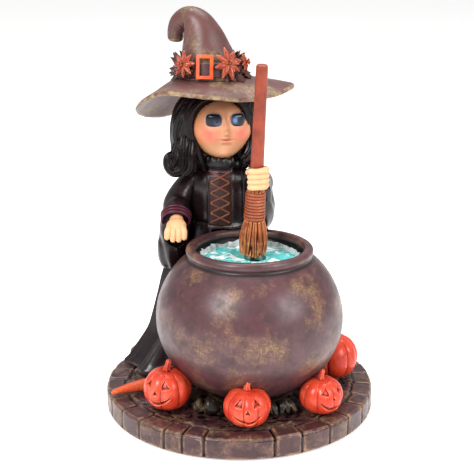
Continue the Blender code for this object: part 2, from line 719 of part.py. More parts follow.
def broom(pivot):
    """Stick, bristles, cord binding and the steel drive pin, all on the broom's own axis."""
    stick_foot = BINDING_TOP - 0.008
    stick = [
        (0, stick_foot),
        (STICK_RADIUS, stick_foot),
        (STICK_RADIUS, -FIST_HEIGHT / 2),
        (STICK_RADIUS, FIST_HEIGHT / 2),
        (STICK_TOP_RADIUS, STICK_TOP - 0.0012),
        (STICK_TOP_RADIUS - 0.0008, STICK_TOP),
        (0, STICK_TOP),
    ]
    turned("broom_stick", stick, (0, 0), RESIN_BROOM, 16, parent=pivot)
    socket = STICK_RADIUS + GAP
    pin_socket = PIN_RADIUS + GAP
    pin_top = BRISTLE_FOOT + 0.014
    bristles = [
        (pin_socket, BRISTLE_FOOT),
        (BRISTLE_RADIUS - 0.0010, BRISTLE_FOOT),
        (BRISTLE_RADIUS - 0.0002, BRISTLE_FOOT + 0.002),
        (BRISTLE_RADIUS, BRISTLE_FOOT + 0.008),
        (BINDING_FOOT_RADIUS - 0.0001, BINDING_FOOT - GAP),
        (NECK_RADIUS, BINDING_FOOT - GAP + 0.0001),
        (NECK_RADIUS, BINDING_TOP + GAP),
        (COLLAR_RADIUS, BINDING_TOP + GAP + 0.0001),
        (COLLAR_RADIUS - 0.0003, BRISTLE_TOP),
        (socket, BRISTLE_TOP),
        (socket, stick_foot - GAP),
        (pin_socket, stick_foot - GAP - 0.0001),
    ]
    turned("broom_bristles", bristles, (0, 0), RESIN_BROOM, 20, closed=True, parent=pivot)
    inside = NECK_RADIUS + GAP
    binding = [(inside, BINDING_FOOT)]
    for turn in range(BINDING_TURNS):
        share = (turn + 0.5) / BINDING_TURNS
        height = BINDING_FOOT + (BINDING_TOP - BINDING_FOOT) * share
        radius = BINDING_FOOT_RADIUS + (BINDING_TOP_RADIUS - BINDING_FOOT_RADIUS) * share
        half = (BINDING_TOP - BINDING_FOOT) / BINDING_TURNS / 2
        binding += [(radius - 0.0004, height - half * 0.98), (radius, height)]
    binding += [(BINDING_TOP_RADIUS - 0.0004, BINDING_TOP), (inside, BINDING_TOP)]
    turned("broom_binding", binding, (0, 0), RESIN_BROOM, 16, closed=True, parent=pivot)
    pin_foot = CRANK_TOP - CRANK_THICKNESS - 0.0015 - PIVOT.z
    collar = CRANK_TOP + 0.0008 - PIVOT.z
    pin = [
        (0, pin_foot),
        (PIN_RADIUS, pin_foot),
        (PIN_RADIUS, collar),
        (PIN_RADIUS + 0.0010, collar),
        (PIN_RADIUS + 0.0010, collar + 0.0015),
        (PIN_RADIUS, collar + 0.0015),
        (PIN_RADIUS, pin_top),
        (0, pin_top),
    ]
    turned("drive_pin", pin, (0, 0), STEEL, SMALL_ROUND, parent=pivot)


# ---- Witch ----


def robe():
    """Robe and body in one casting, hollowed against the cauldron."""
    length, width = battery_box_size()
    low, high = battery_box_levels()
    room = (length + 2 * GAP, width + 2 * GAP, 2 * (high - low + GAP))
    battery_room = box("battery_space_robe", (BATTERY_X, BATTERY_Y, low), room, RESIN_ROBE)
    cut(robe_solid("robe"), cauldron_cutter("cauldron_space_robe"), battery_room)


def sleeve(name, rings, *cutters):
    """A hanging bell sleeve through upright ovals: centre and two radii each."""
    points = [oval(centre, radius_x, radius_y, 16) for centre, radius_x, radius_y in rings]
    piece = skin(name, points, RESIN_ROBE)
    cut(piece, *cutters)
    return piece


def sleeves():
    """The resting arm's sleeve hangs beside the cauldron, the stirring arm's sleeve hangs behind its rim."""
    sleeve(
        "resting_sleeve",
        [
            ((-0.0275, 0.029, 0.1390), 0.0050, 0.0050),
            ((-0.0322, 0.027, 0.1310), 0.0080, 0.0085),
            ((-0.0362, 0.022, 0.1195), 0.0095, 0.0130),
            ((-0.0390, 0.017, 0.1073), 0.0105, 0.0165),
            ((-0.0410, 0.016, 0.0952), 0.0102, 0.0155),
            ((-0.0425, 0.017, 0.0862), 0.0080, 0.0110),
            ((-0.0430, 0.018, 0.0822), 0.0050, 0.0060),
        ],
        robe_solid("robe_space_resting", CUT_GAP),
        cauldron_cutter("cauldron_space_resting"),
    )
    fist_back = PIVOT.y + 0.0122
    tilt = Matrix.Rotation(math.radians(90), 3, "X")
    rings = []
    for centre, radius_x, radius_z in (
        ((0.0090, 0.038, 0.1270), 0.0060, 0.0100),
        ((0.0128, 0.030, 0.1205), 0.0080, 0.0180),
        ((0.0138, 0.022, 0.1240), 0.0076, 0.0200),
        ((0.0133, fist_back + 0.010, 0.1340), 0.0070, 0.0130),
        ((0.0118, fist_back + 0.0015, 0.1425), 0.0062, 0.0068),
    ):
        rings.append(oval(centre, radius_x, radius_z, 16, tilt))
    piece = skin("stirring_sleeve", rings, RESIN_ROBE)
    cut(piece, robe_solid("robe_space_stirring", CUT_GAP), cauldron_cutter("cauldron_space_stirring"))


def hands():
    """The resting hand, and the fist with the bush that the broom pivots in."""
    hand = ball("resting_hand", (-0.0370, -0.0020, 0.1097), (HAND_RADIUS, 0.0085, 0.0068), RESIN_SKIN, 16, 8)
    cutter = skin(
        "resting_cuff_space",
        [
            oval((-0.0362, 0.022, 0.1225), 0.0100, 0.0137, 20),
            oval((-0.0390, 0.017, 0.1073), 0.0110, 0.0173, 20),
            oval((-0.0410, 0.016, 0.0952), 0.0107, 0.0163, 20),
        ],
        RESIN_ROBE,
    )
    cut(hand, cutter, cauldron_cutter("cauldron_space_hand"))
    middle = (PIVOT.x + 0.0006, PIVOT.y + 0.0007, PIVOT.z)
    fist = box("stirring_fist", middle, (FIST_WIDTH, FIST_DEPTH, FIST_HEIGHT), RESIN_SKIN, 0.0028)
    tilt = Matrix.Rotation(math.radians(90), 3, "X")
    back = PIVOT.y + 0.0122
    wrist = skin(
        "wrist",
        [
            oval((PIVOT.x + 0.0010, back + 0.0012, PIVOT.z - 0.0030), WRIST_RADIUS, WRIST_RADIUS, 16, tilt),
            oval((PIVOT.x + 0.0006, PIVOT.y + 0.0060, PIVOT.z - 0.0015), WRIST_RADIUS, WRIST_RADIUS, 16, tilt),
        ],
        RESIN_SKIN,
    )
    weld(fist, wrist)
    half = FIST_HEIGHT / 2 + 0.002
    bore = turned("fist_bore", [(0, -half), (FIST_BORE, -half), (FIST_BORE, half), (0, half)], (0, 0), RESIN_SKIN, 24)
    bore.location = PIVOT
    cut(fist, bore)
    outer = FIST_BORE - GAP
    reach = 0.0045
    flare = reach * math.tan(stir_lean())
    narrow = STICK_RADIUS / math.cos(stir_lean()) + RUNNING_GAP
    profile = [(outer, PIVOT.z - reach), (outer, PIVOT.z + reach), (narrow + flare, PIVOT.z + reach), (narrow, PIVOT.z), (narrow + flare, PIVOT.z - reach)]
    turned("fist_bush", profile, (PIVOT.x, PIVOT.y), BLACK_PLASTIC, 20, closed=True)


def head_profile(grow=0.0):
    """The head with its neck, from below."""
    neck = NECK_HALF + grow
    low = ROBE_TOP + CUT_GAP - grow
    profile = [(0, low), (neck, low)]
    start = math.asin(min(1.0, neck / (HEAD_RADIUS + grow)))
    steps = 9
    for i in range(steps + 1):
        turn = start + (math.pi - start) * i / steps
        radius = (HEAD_RADIUS + grow) * math.sin(turn)
        height = HEAD_MIDDLE - (HEAD_HALF_HEIGHT + grow) * math.cos(turn)
        profile.append((radius if i < steps else 0, height))
    return profile


# The hair's outline from its ends at the shoulders up to the hat: height above the neck line, middle, half widths.
HAIR_RINGS = (
    (0.0022, -0.0150, 0.0340, 0.0200, 0.0105),
    (0.0060, -0.0150, 0.0335, 0.0245, 0.0140),
    (0.0140, -0.0145, 0.0330, 0.0262, 0.0165),
    (0.0240, -0.0140, 0.0320, 0.0265, 0.0178),
    (0.0340, -0.0132, 0.0310, 0.0250, 0.0184),
    (0.0420, -0.0120, 0.0295, 0.0205, 0.0170),
    (0.0480, -0.0110, 0.0285, 0.0120, 0.0110),
)


def hair_solid(name, grow=0.0):
    """The hair as a full bell round the head, before the face and the hat are cut from it."""
    rings = []
    for rise, x, y, half_width, half_depth in HAIR_RINGS:
        rings.append(oval((x, y, ROBE_TOP + rise), half_width + grow, half_depth + grow, 24))
    rings[0] = [point - Vector((0, 0, grow)) for point in rings[0]]
    rings[-1] = [point + Vector((0, 0, grow)) for point in rings[-1]]
    return skin(name, rings, RESIN_HAIR)


def head_parts():
    """Head, collar, and the hair as a cap with one hanging lock at each side."""
    centre = (FIGURE_X, HEAD_Y)
    head = turned("head", head_profile(), centre, RESIN_SKIN, 22)
    cut(head, under_hat_cutter("hat_space_head"))
    inner = NECK_HALF + GAP
    low = ROBE_TOP + CUT_GAP
    turned("collar", [(inner, low), (0.0115, low), (0.0120, low + 0.0030), (0.0095, low + 0.0048), (inner, low + 0.0048)], centre, RESIN_ROBE, 24, closed=True)
    hair = hair_solid("hair")
    face_window = box("face_window", (FIGURE_X + 0.001, HEAD_Y - 0.020, HEAD_MIDDLE - 0.004), (0.0310, 0.030, 0.036), RESIN_HAIR)
    neck_room = turned("neck_room", [(0, ROBE_TOP - 0.002), (0.0125, ROBE_TOP - 0.002), (0.0125, ROBE_TOP + 0.0060), (0, ROBE_TOP + 0.0060)], centre, RESIN_HAIR, 24)
    cut(
        hair,
        turned("head_space_hair", head_profile(CUT_GAP), centre, RESIN_HAIR, 22),
        face_window,
        under_hat_cutter("hat_space_hair"),
        robe_solid("robe_space_hair", CUT_GAP),
        neck_room,
    )
    neck_line = ROBE_TOP
    locks = {
        "hair_lock_right": (
            ((-0.0345, 0.022, neck_line + 0.0150), 0.0050, 0.0075),
            ((-0.0365, 0.019, neck_line + 0.0080), 0.0078, 0.0095),
            ((-0.0370, 0.018, neck_line + 0.0020), 0.0080, 0.0088),
            ((-0.0355, 0.019, neck_line - 0.0015), 0.0050, 0.0055),
        ),
        "hair_lock_left": (
            ((0.0090, 0.019, neck_line + 0.0200), 0.0030, 0.0050),
            ((0.0080, 0.018, neck_line + 0.0120), 0.0046, 0.0065),
            ((0.0070, 0.018, neck_line + 0.0060), 0.0044, 0.0060),
            ((0.0065, 0.018, neck_line + 0.0020), 0.0026, 0.0040),
        ),
    }
    for name, path in locks.items():
        rings = [oval(middle, radius_x, radius_y, 12) for middle, radius_x, radius_y in path]
        lock = skin(name, rings, RESIN_HAIR)
        cut(
            lock,
            hair_solid(f"hair_space_{name}", CUT_GAP),
            turned(f"head_space_{name}", head_profile(CUT_GAP), centre, RESIN_HAIR, 22),
            robe_solid(f"robe_space_{name}", CUT_GAP),
            stirring_arm_space(f"arm_space_{name}"),
        )


def stirring_arm_space(name):
    """Clearance over the stirring arm's shoulder for the hair lock."""
    return box(name, (0.014, 0.028, 0.130), (0.022, 0.040, 0.036), RESIN_HAIR)


# ---- Hat ----

# The crown's bent spine: a point and the crown's radius there.
CROWN_SPINE = (
    (CROWN_X, CROWN_Y, CROWN_FOOT + 0.0005, CROWN_RADIUS),
    (CROWN_X - 0.0014, CROWN_Y, CROWN_FOOT + 0.0070, CROWN_RADIUS - 0.0015),
    (CROWN_X - 0.0032, CROWN_Y, CROWN_FOOT + 0.0150, CROWN_RADIUS - 0.0038),
    (CROWN_X - 0.0054, CROWN_Y + 0.0005, CROWN_FOOT + 0.0245, CROWN_RADIUS - 0.0070),
    (CROWN_X - 0.0090, CROWN_Y + 0.0020, CROWN_FOOT + 0.0318, CROWN_RADIUS - 0.0100),
    (CROWN_X - 0.0142, CROWN_Y + 0.0045, CROWN_FOOT + 0.0346, CROWN_RADIUS - 0.0126),
    (CROWN_X - 0.0192, CROWN_Y + 0.0065, CROWN_FOOT + 0.0322, CROWN_RADIUS - 0.0141),
    (CROWN_X - 0.0222, CROWN_Y + 0.0080, CROWN_FOOT + 0.0270, CROWN_RADIUS - 0.0148),
    (CROWN_X - 0.0230, CROWN_Y + 0.0085, CROWN_FOOT + 0.0210, CROWN_RADIUS - 0.0156),
)


def crown_ring(index, grow=0.0, rise=0.0, count=ROUND):
    """A ring of the crown, square to its spine."""
    x, y, z, radius = CROWN_SPINE[index]
    before = Vector(CROWN_SPINE[max(index - 1, 0)][:3])
    after = Vector(CROWN_SPINE[min(index + 1, len(CROWN_SPINE) - 1)][:3])
    along = (after - before).normalized() if index > 2 else Vector((0, 0, 1))
    tilt = Vector((0, 0, 1)).rotation_difference(along).to_matrix()
    return oval((x, y, z + rise), radius + grow, radius + grow, count, tilt)


def crown_at(rise):
    """The crown's middle in X and its radius, this far above its foot, along the straight part."""
    for low, high in zip(CROWN_SPINE, CROWN_SPINE[1:3]):
        if rise <= high[2] - CROWN_FOOT:
            share = (rise - low[2] + CROWN_FOOT) / (high[2] - low[2])
            return low[0] + (high[0] - low[0]) * share, low[3] + (high[3] - low[3]) * share
    return high[0], high[3]


def hat():
    """Brim and crown in one casting. The brim's underside, its edge, its top and the crown are one skin."""
    rings = [[Vector((CROWN_X, CROWN_Y, CROWN_FOOT - 0.0060))]]
    for share in (0.0, 0.3, 0.65, 1.0):
        rings.append(brim_ring(share, BRIM_THICKNESS + 0.0036 * (1 - share)))
    for share in (1.0, 0.65, 0.3):
        rings.append(brim_ring(share, 0.0))
    rings += [crown_ring(index) for index in range(len(CROWN_SPINE))]
    rings.append([Vector(CROWN_SPINE[-1][:3]) - Vector((0, 0, 0.0018))])
    skin("hat", rings, RESIN_BROWN)


def hat_band():
    """The dark band above the brim, cut round the crown."""
    inner = 0.0006
    low, high = 0.0022, 0.0022 + BAND_HEIGHT
    rings = []
    for rise, grow in ((low, inner), (low, inner + BAND_THICKNESS), (high, inner + BAND_THICKNESS), (high, inner)):
        x, radius = crown_at(rise)
        rings.append(oval((x, CROWN_Y, CROWN_FOOT + rise), radius + grow, radius + grow))
    skin("hat_band", rings, RESIN_ROBE, closed=True)


def on_band(degrees, out, rise):
    """A point on the band's outside, and the frame that faces outward there."""
    turn = math.radians(degrees)
    x, radius = crown_at(rise)
    radius += 0.0006 + BAND_THICKNESS + out
    point = Vector((x + radius * math.cos(turn), CROWN_Y + radius * math.sin(turn), CROWN_FOOT + rise))
    outward = Vector((math.cos(turn), math.sin(turn), 0.25))
    return point, outward.to_track_quat("Z", "Y").to_matrix()


def hat_trimmings():
    """Buckle, garland of leaves as a roll that is open at the buckle, and three flowers."""
    buckle_turn = -95
    point, _ = on_band(buckle_turn, 0.0018, 0.0082)
    frame = box("hat_buckle", (0, 0, 0), (0.0093, 0.0145, 0.0018), RESIN_ORANGE, 0.0003)
    cut(frame, box("buckle_hole", point, (0.0056, 0.0100, 0.01), RESIN_ORANGE))
    facing = Vector((math.cos(math.radians(buckle_turn)), math.sin(math.radians(buckle_turn)), 0.25))
    side = Vector((0, 0, 1)).cross(facing).normalized()
    upright = facing.normalized().cross(side)
    turn = Matrix((side, upright, facing.normalized())).transposed().to_4x4()
    for piece in (frame, bpy.data.objects["buckle_hole"]):
        if piece is not frame:
            piece.data.transform(Matrix.Translation(-point))
        piece.matrix_world = Matrix.Translation(point) @ turn
    garland_radius = 0.0021
    rings = []
    steps = 18
    for i in range(steps + 1):
        degrees = -62 + (247 + 62) * i / steps
        centre, _ = on_band(degrees, garland_radius + 0.0011, 0.0058)
        along = Vector((-math.sin(math.radians(degrees)), math.cos(math.radians(degrees)), 0))
        size = garland_radius * (0.55 if i in (0, steps) else 1.0)
        rings.append(oval(centre, size, size * 1.5, 8, along_frame(along)))
    skin("hat_garland", rings, RESIN_ROBE)
    for number, (degrees, size, rise) in enumerate(FLOWERS):
        centre, tilt = on_band(degrees, 2 * garland_radius + 0.0036, rise)
        petals = [
            Vector(centre) + tilt @ Vector((r * math.cos(a), r * math.sin(a), z))
            for r, a, z in flower_outline(size)
        ]
        count = len(petals) // 2
        skin(f"hat_flower_{number + 1}", [petals[:count], petals[count:]], RESIN_ORANGE)


def along_frame(along):
    """A frame whose Z runs along a level direction and whose Y points up."""
    side = Vector((0, 0, 1)).cross(along).normalized()
    return Matrix((side, Vector((0, 0, 1)), along)).transposed()


def flower_outline(size):
    """Eight petals as a star outline, at the back and then at the front of the flower."""
    points = []
    for depth, share in ((-0.0006, 1.0), (0.0012, 0.9)):
        for step in range(16):
            radius = size * share * (1.0 if step % 2 == 0 else 0.62)
            points.append((radius, 2 * math.pi * step / 16, depth))
    return points


# ---- Round the cauldron's foot ----


def pumpkin(name, x, y, scale=1.0, tall=1.0):
    """A ribbed pumpkin with its stem, cut to the cauldron it is glued to. tall stretches its height alone."""
    ribs = 8
    sides = ribs * 2
    radius = PUMPKIN_RADIUS * scale
    half = PUMPKIN_HALF_HEIGHT * scale * tall
    low = BASE_TOP + GAP
    middle = low + half * 0.94
    rings = []
    steps = 6
    for i in range(steps + 1):
        turn = math.radians(20 + 148 * i / steps)
        level = middle - half * math.cos(turn)
        ring = []
        for side in range(sides):
            around_z = 2 * math.pi * side / sides
            rib = 1 - 0.06 * (side % 2)
            reach = radius * math.sin(turn) * rib
            ring.append(Vector((x + reach * math.cos(around_z), y + reach * math.sin(around_z), level)))
        rings.append(ring)
    stem = 0.0018 * scale
    top = middle + half
    rings.append(oval((x, y, top - 0.0008), stem, stem, sides))
    rings.append(oval((x + 0.0006, y, top + 0.0055 * scale), stem * 0.8, stem * 0.8, sides))
    piece = skin(name, rings, RESIN_ORANGE)
    cut(piece, cauldron_cutter(f"cauldron_space_{name}"))


def pumpkins():
    """Each pumpkin stands where its back just meets the cauldron's lower curve."""
    for name, degrees, scale, out, tall in (
        ("pumpkin_middle", 268, 1.0, 0.0, 1.10),
        ("pumpkin_left", 209, 1.03, 0.0045, 1.18),
        ("pumpkin_right", 322, 0.94, 0.005, 1.12),
        ("pumpkin_back", 20, 1.15, 0.002, 1.17),
    ):
        level = BASE_TOP + PUMPKIN_HALF_HEIGHT * scale * tall
        reach = cauldron_radius_at(level) + PUMPKIN_RADIUS * scale - 0.0035 + out
        x, y = on_circle(reach, degrees, (CAULDRON_X, CAULDRON_Y))
        pumpkin(name, x, y, scale, tall)


def carrot():
    """A carrot that lies on the paving, its thick end behind the left pumpkin."""
    tip = Vector((-0.0765, -0.0265, BASE_TOP + 0.0020))
    head = Vector((-0.0515, -0.0180, BASE_TOP + 0.0046))
    along = (head - tip).normalized()
    tilt = along.to_track_quat("Z", "Y").to_matrix()
    rings = [[tip - along * 0.0008]]
    for share, radius in ((0.0, 0.0013), (0.3, 0.0026), (0.65, 0.0036), (0.92, 0.0042), (1.0, 0.0030)):
        rings.append(oval(tip.lerp(head, share), radius, radius, 12, tilt))
    skin("carrot", rings, RESIN_ORANGE)


def firewood():
    """A log end and two charred roots that lean out from under the cauldron."""
    foot = BASE_TOP + GAP
    for name, degrees, reach, width, height in (
        ("fire_log", 236, 0.0430, 0.0110, 0.0085),
        ("root_1", 290, 0.0370, 0.0050, 0.0080),
        ("root_2", 300, 0.0385, 0.0045, 0.0090),
    ):
        x, y = on_circle(reach, degrees, (CAULDRON_X, CAULDRON_Y))
        outward = math.radians(degrees)
        spin = Matrix.Rotation(outward, 3, "Z")
        rings = []
        for share, narrow in ((0.0, 1.0), (0.55, 0.85), (1.0, 0.45)):
            centre = (x, y, foot + height * share)
            rings.append(oval(centre, width * 0.75 * narrow, width * 0.5 * narrow, 8, spin))
        cut(skin(name, rings, RESIN_BROWN), cauldron_cutter(f"cauldron_space_{name}"))


def build():
    for old in list(bpy.data.objects):
        bpy.data.objects.remove(old, do_unlink=True)
    stone_base()
    base_cover()
    cover_screws()
    foot_pads()
    battery_parts()
    switch_parts()
    control_parts()
    cauldron()
    potion()
    potion_film()
    motor_tower()
    gear_motor()
    crank_disc()
    led_parts()
    broom(broom_empty())
    robe()
    sleeves()
    hands()
    head_parts()
    hat()
    hat_band()
    hat_trimmings()
    pumpkins()
    carrot()
    firewood()


build()
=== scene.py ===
"""Looks of the animated witch figure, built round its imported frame.

Metres, +Z up, and the witch looks along -Y.
"""

import math

import bpy
import numpy as np
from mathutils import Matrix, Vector


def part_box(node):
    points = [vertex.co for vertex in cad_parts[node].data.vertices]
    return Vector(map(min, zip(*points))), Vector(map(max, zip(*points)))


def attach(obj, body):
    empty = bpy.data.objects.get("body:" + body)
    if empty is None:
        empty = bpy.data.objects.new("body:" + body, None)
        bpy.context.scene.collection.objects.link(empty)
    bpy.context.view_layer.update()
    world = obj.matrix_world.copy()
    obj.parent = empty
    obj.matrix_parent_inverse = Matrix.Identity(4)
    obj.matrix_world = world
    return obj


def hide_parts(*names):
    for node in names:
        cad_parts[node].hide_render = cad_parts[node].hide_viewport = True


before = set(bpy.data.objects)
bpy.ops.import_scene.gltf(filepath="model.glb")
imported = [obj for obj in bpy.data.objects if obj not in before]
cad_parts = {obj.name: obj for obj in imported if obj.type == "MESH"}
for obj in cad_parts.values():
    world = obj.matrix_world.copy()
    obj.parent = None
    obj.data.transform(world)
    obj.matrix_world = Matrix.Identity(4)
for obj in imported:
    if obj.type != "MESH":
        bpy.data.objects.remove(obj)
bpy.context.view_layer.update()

# ---- Camera, floor and lights ----
# A still camera a little above the figure, a plain pale floor, and large soft lamps as in a small studio.

camera_data = bpy.data.cameras.new("studio_camera")
camera_data.lens = 82.03
camera_data.sensor_width = 36
camera = bpy.data.objects.new("studio_camera", camera_data)
camera.location = (-0.00149, -0.62242, 0.29363)
camera.rotation_euler = (math.radians(73.25), 0, 0)
bpy.context.scene.collection.objects.link(camera)
bpy.context.scene.camera = camera


def linear(colour):
    """An sRGB hex colour as linear red, green, blue and 1."""
    channels = [int(colour[i : i + 2], 16) / 255 for i in (1, 3, 5)]
    return [c / 12.92 if c <= 0.04045 else ((c + 0.055) / 1.055) ** 2.4 for c in channels] + [1.0]


def add_node(tree, kind, links=None, values=None, **settings):
    """Adds a node with its properties, its socket values and the sockets that feed it."""
    node = tree.nodes.new(kind)
    for key, value in settings.items():
        setattr(node, key, value)
    for key, value in (values or {}).items():
        node.inputs[key].default_value = value
    for key, socket in (links or {}).items():
        tree.links.new(socket, node.inputs[key])
    return node


def new_material(name, colour, roughness, **values):
    """A material with its Principled shader set, and the node tree to add to."""
    material = bpy.data.materials.new(name)
    material.use_nodes = True
    shader = material.node_tree.nodes["Principled BSDF"]
    shader.inputs["Base Color"].default_value = linear(colour)
    shader.inputs["Roughness"].default_value = roughness
    for key, value in values.items():
        shader.inputs[key.replace("_", " ")].default_value = value
    return material, material.node_tree, shader


def deselect():
    if bpy.context.object and bpy.context.object.mode != "OBJECT":
        bpy.ops.object.mode_set(mode="OBJECT")
    bpy.ops.object.select_all(action="DESELECT")


deselect()
bpy.ops.mesh.primitive_plane_add(size=24)
floor = bpy.context.object
floor.name = "studio_floor"
# A sheet of white film lit from below, as on a light table, so the ground stays even to its far edge.
floor.data.materials.append(
    new_material("lit_white_acrylic", "#f4f4f3", 0.9, Emission_Color=(1, 1, 1, 1), Emission_Strength=0.42)[0]
)

for name, place, target, size, power in (
    ("key_lamp", (-0.75, -0.95, 1.05), (0, 0, 0.10), 0.55, 20.0),
    ("fill_lamp", (1.00, -0.70, 0.75), (0, 0, 0.10), 0.60, 12.0),
    ("top_lamp", (0.05, 0.30, 1.30), (0, 0, 0.10), 0.80, 13.0),
):
    lamp_data = bpy.data.lights.new(name, "AREA")
    lamp_data.size = size
    lamp_data.energy = power
    lamp = bpy.data.objects.new(name, lamp_data)
    lamp.location = place
    lamp.rotation_euler = (Vector(target) - Vector(place)).to_track_quat("-Z", "Y").to_euler()
    bpy.context.scene.collection.objects.link(lamp)

world = bpy.data.worlds.new("studio_air")
world.use_nodes = True
world.node_tree.nodes["Background"].inputs["Color"].default_value = (1, 1, 1, 1)
world.node_tree.nodes["Background"].inputs["Strength"].default_value = 0.55
bpy.context.scene.world = world
# Plain colour response, so that the painted colours come out as they were mixed.
bpy.context.scene.view_settings.view_transform = "Standard"

# ---- Stone base ----
# One polyresin casting of a paved disc: a ring of rounded blocks with trodden earth inside it.
# It is cast in a rubber mould, stained dark, and dry-brushed with ochre on whatever stands proud.

BASE_RADIUS = 0.0826
BASE_TOP = 0.0144
BASE_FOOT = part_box("stone_base")[0][2]
PAVING_WIDTH = 0.0125
# Degrees round from the front at which one block ends and the next begins.
BLOCK_JOINTS = (
    *(-79, -69, -57.4, -45, -31.7, -23.4, -14.2, 14, 25.7, 39.1, 50.4, 62.5, 72.8, 84.5, 96),
    *(107, 119.5, 130, 143, 154, 166.5, 177, 189.5, 200, 212.5, 223, 236, 247.5, 258, 269.5),
)
BORE_X, BORE_Y, BORE_RADIUS = 0.0099, -0.0102, 0.0156  # the motor tower passes here

LATTICE = np.random.default_rng(11).random((32, 32, 32)) * 2 - 1


def lumps(points, size, seed=0):
    """Smooth random values from -1 to 1 over a surface, with features of about this size."""
    at = points / size + seed * 5.37 + 64
    cell = np.floor(at).astype(int)
    share = at - cell
    share = share * share * (3 - 2 * share)
    total = np.zeros(len(points))
    for corner in range(8):
        step = np.array([corner & 1, corner >> 1 & 1, corner >> 2 & 1])
        weight = np.prod(np.where(step, share, 1 - share), axis=1)
        x, y, z = ((cell + step) % 32).T
        total += weight * LATTICE[x, y, z]
    return total


def points_of(piece):
    flat = np.empty(len(piece.data.vertices) * 3, np.float32)
    piece.data.vertices.foreach_get("co", flat)
    return flat.reshape(-1, 3).astype(float)


def move_to(piece, points):
    piece.data.vertices.foreach_set("co", np.asarray(points, np.float32).ravel())
    piece.data.update()


def wrapped(name, around, along, shape):
    """A grid wrapped into a closed skin.

    shape takes the turn (0 to 2 pi) and the share of the way along (0 to 1).
    """
    deselect()
    bpy.ops.mesh.primitive_grid_add(x_subdivisions=around, y_subdivisions=along, size=1)
    piece = bpy.context.object
    piece.name = name
    flat = points_of(piece)
    move_to(piece, np.stack(shape((flat[:, 0] + 0.5) * 2 * math.pi, np.clip(flat[:, 1] + 0.5, 0, 1)), axis=1))
    bpy.ops.object.mode_set(mode="EDIT")
    bpy.ops.mesh.select_all(action="SELECT")
    bpy.ops.mesh.remove_doubles(threshold=2e-6)
    bpy.ops.mesh.normals_make_consistent(inside=False)
    bpy.ops.object.mode_set(mode="OBJECT")
    return piece


def stations(*corners):
    """Rows of a profile: each corner is (radius, height, steps on to the next)."""
    rows = []
    for (r, z, steps), (next_r, next_z, _) in zip(corners, corners[1:]):
        rows += [(r + (next_r - r) * i / steps, z + (next_z - z) * i / steps) for i in range(steps)]
    rows.append(corners[-1][:2])
    return np.array(rows)


def mark_relief(piece, passes, depth):
    """Point attribute "relief": 0.5 on plain surface, towards 1 on what stands proud and 0 in hollows."""
    mesh = piece.data
    places = points_of(piece)
    count = len(places)
    ends = np.empty(len(mesh.edges) * 2, np.int32)
    mesh.edges.foreach_get("vertices", ends)
    a, b = ends.reshape(-1, 2).T
    near = np.maximum(np.bincount(a, minlength=count) + np.bincount(b, minlength=count), 1)
    smooth = places.copy()
    for _ in range(passes):
        total = np.stack(
            [
                np.bincount(a, smooth[b, k], count) + np.bincount(b, smooth[a, k], count) for k in range(3)
            ], axis=1
        )
        smooth = 0.4 * smooth + 0.6 * total / near[:, None]
    normals = np.empty(count * 3, np.float32)
    mesh.vertex_normals.foreach_get("vector", normals)
    lift = ((places - smooth) * normals.reshape(-1, 3)).sum(axis=1)
    lift -= np.median(lift)
    values = np.clip(0.5 + 0.5 * lift / depth, 0, 1).astype(np.float32)
    mesh.attributes.new("relief", "FLOAT", "POINT").data.foreach_set("value", values)


def fix(piece, material, body, slot, *nodes, passes=10, depth=0.0003):
    """Gives a finished piece its material and its body, and hides the frame's nodes that it stands for; the
    slot is not used.
    """
    deselect()
    piece.select_set(True)
    bpy.context.view_layer.objects.active = piece
    bpy.ops.object.shade_smooth()
    piece.data.materials.clear()
    piece.data.materials.append(material)
    mark_relief(piece, passes, depth)
    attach(piece, body)
    if nodes:
        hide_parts(*nodes)
    return piece


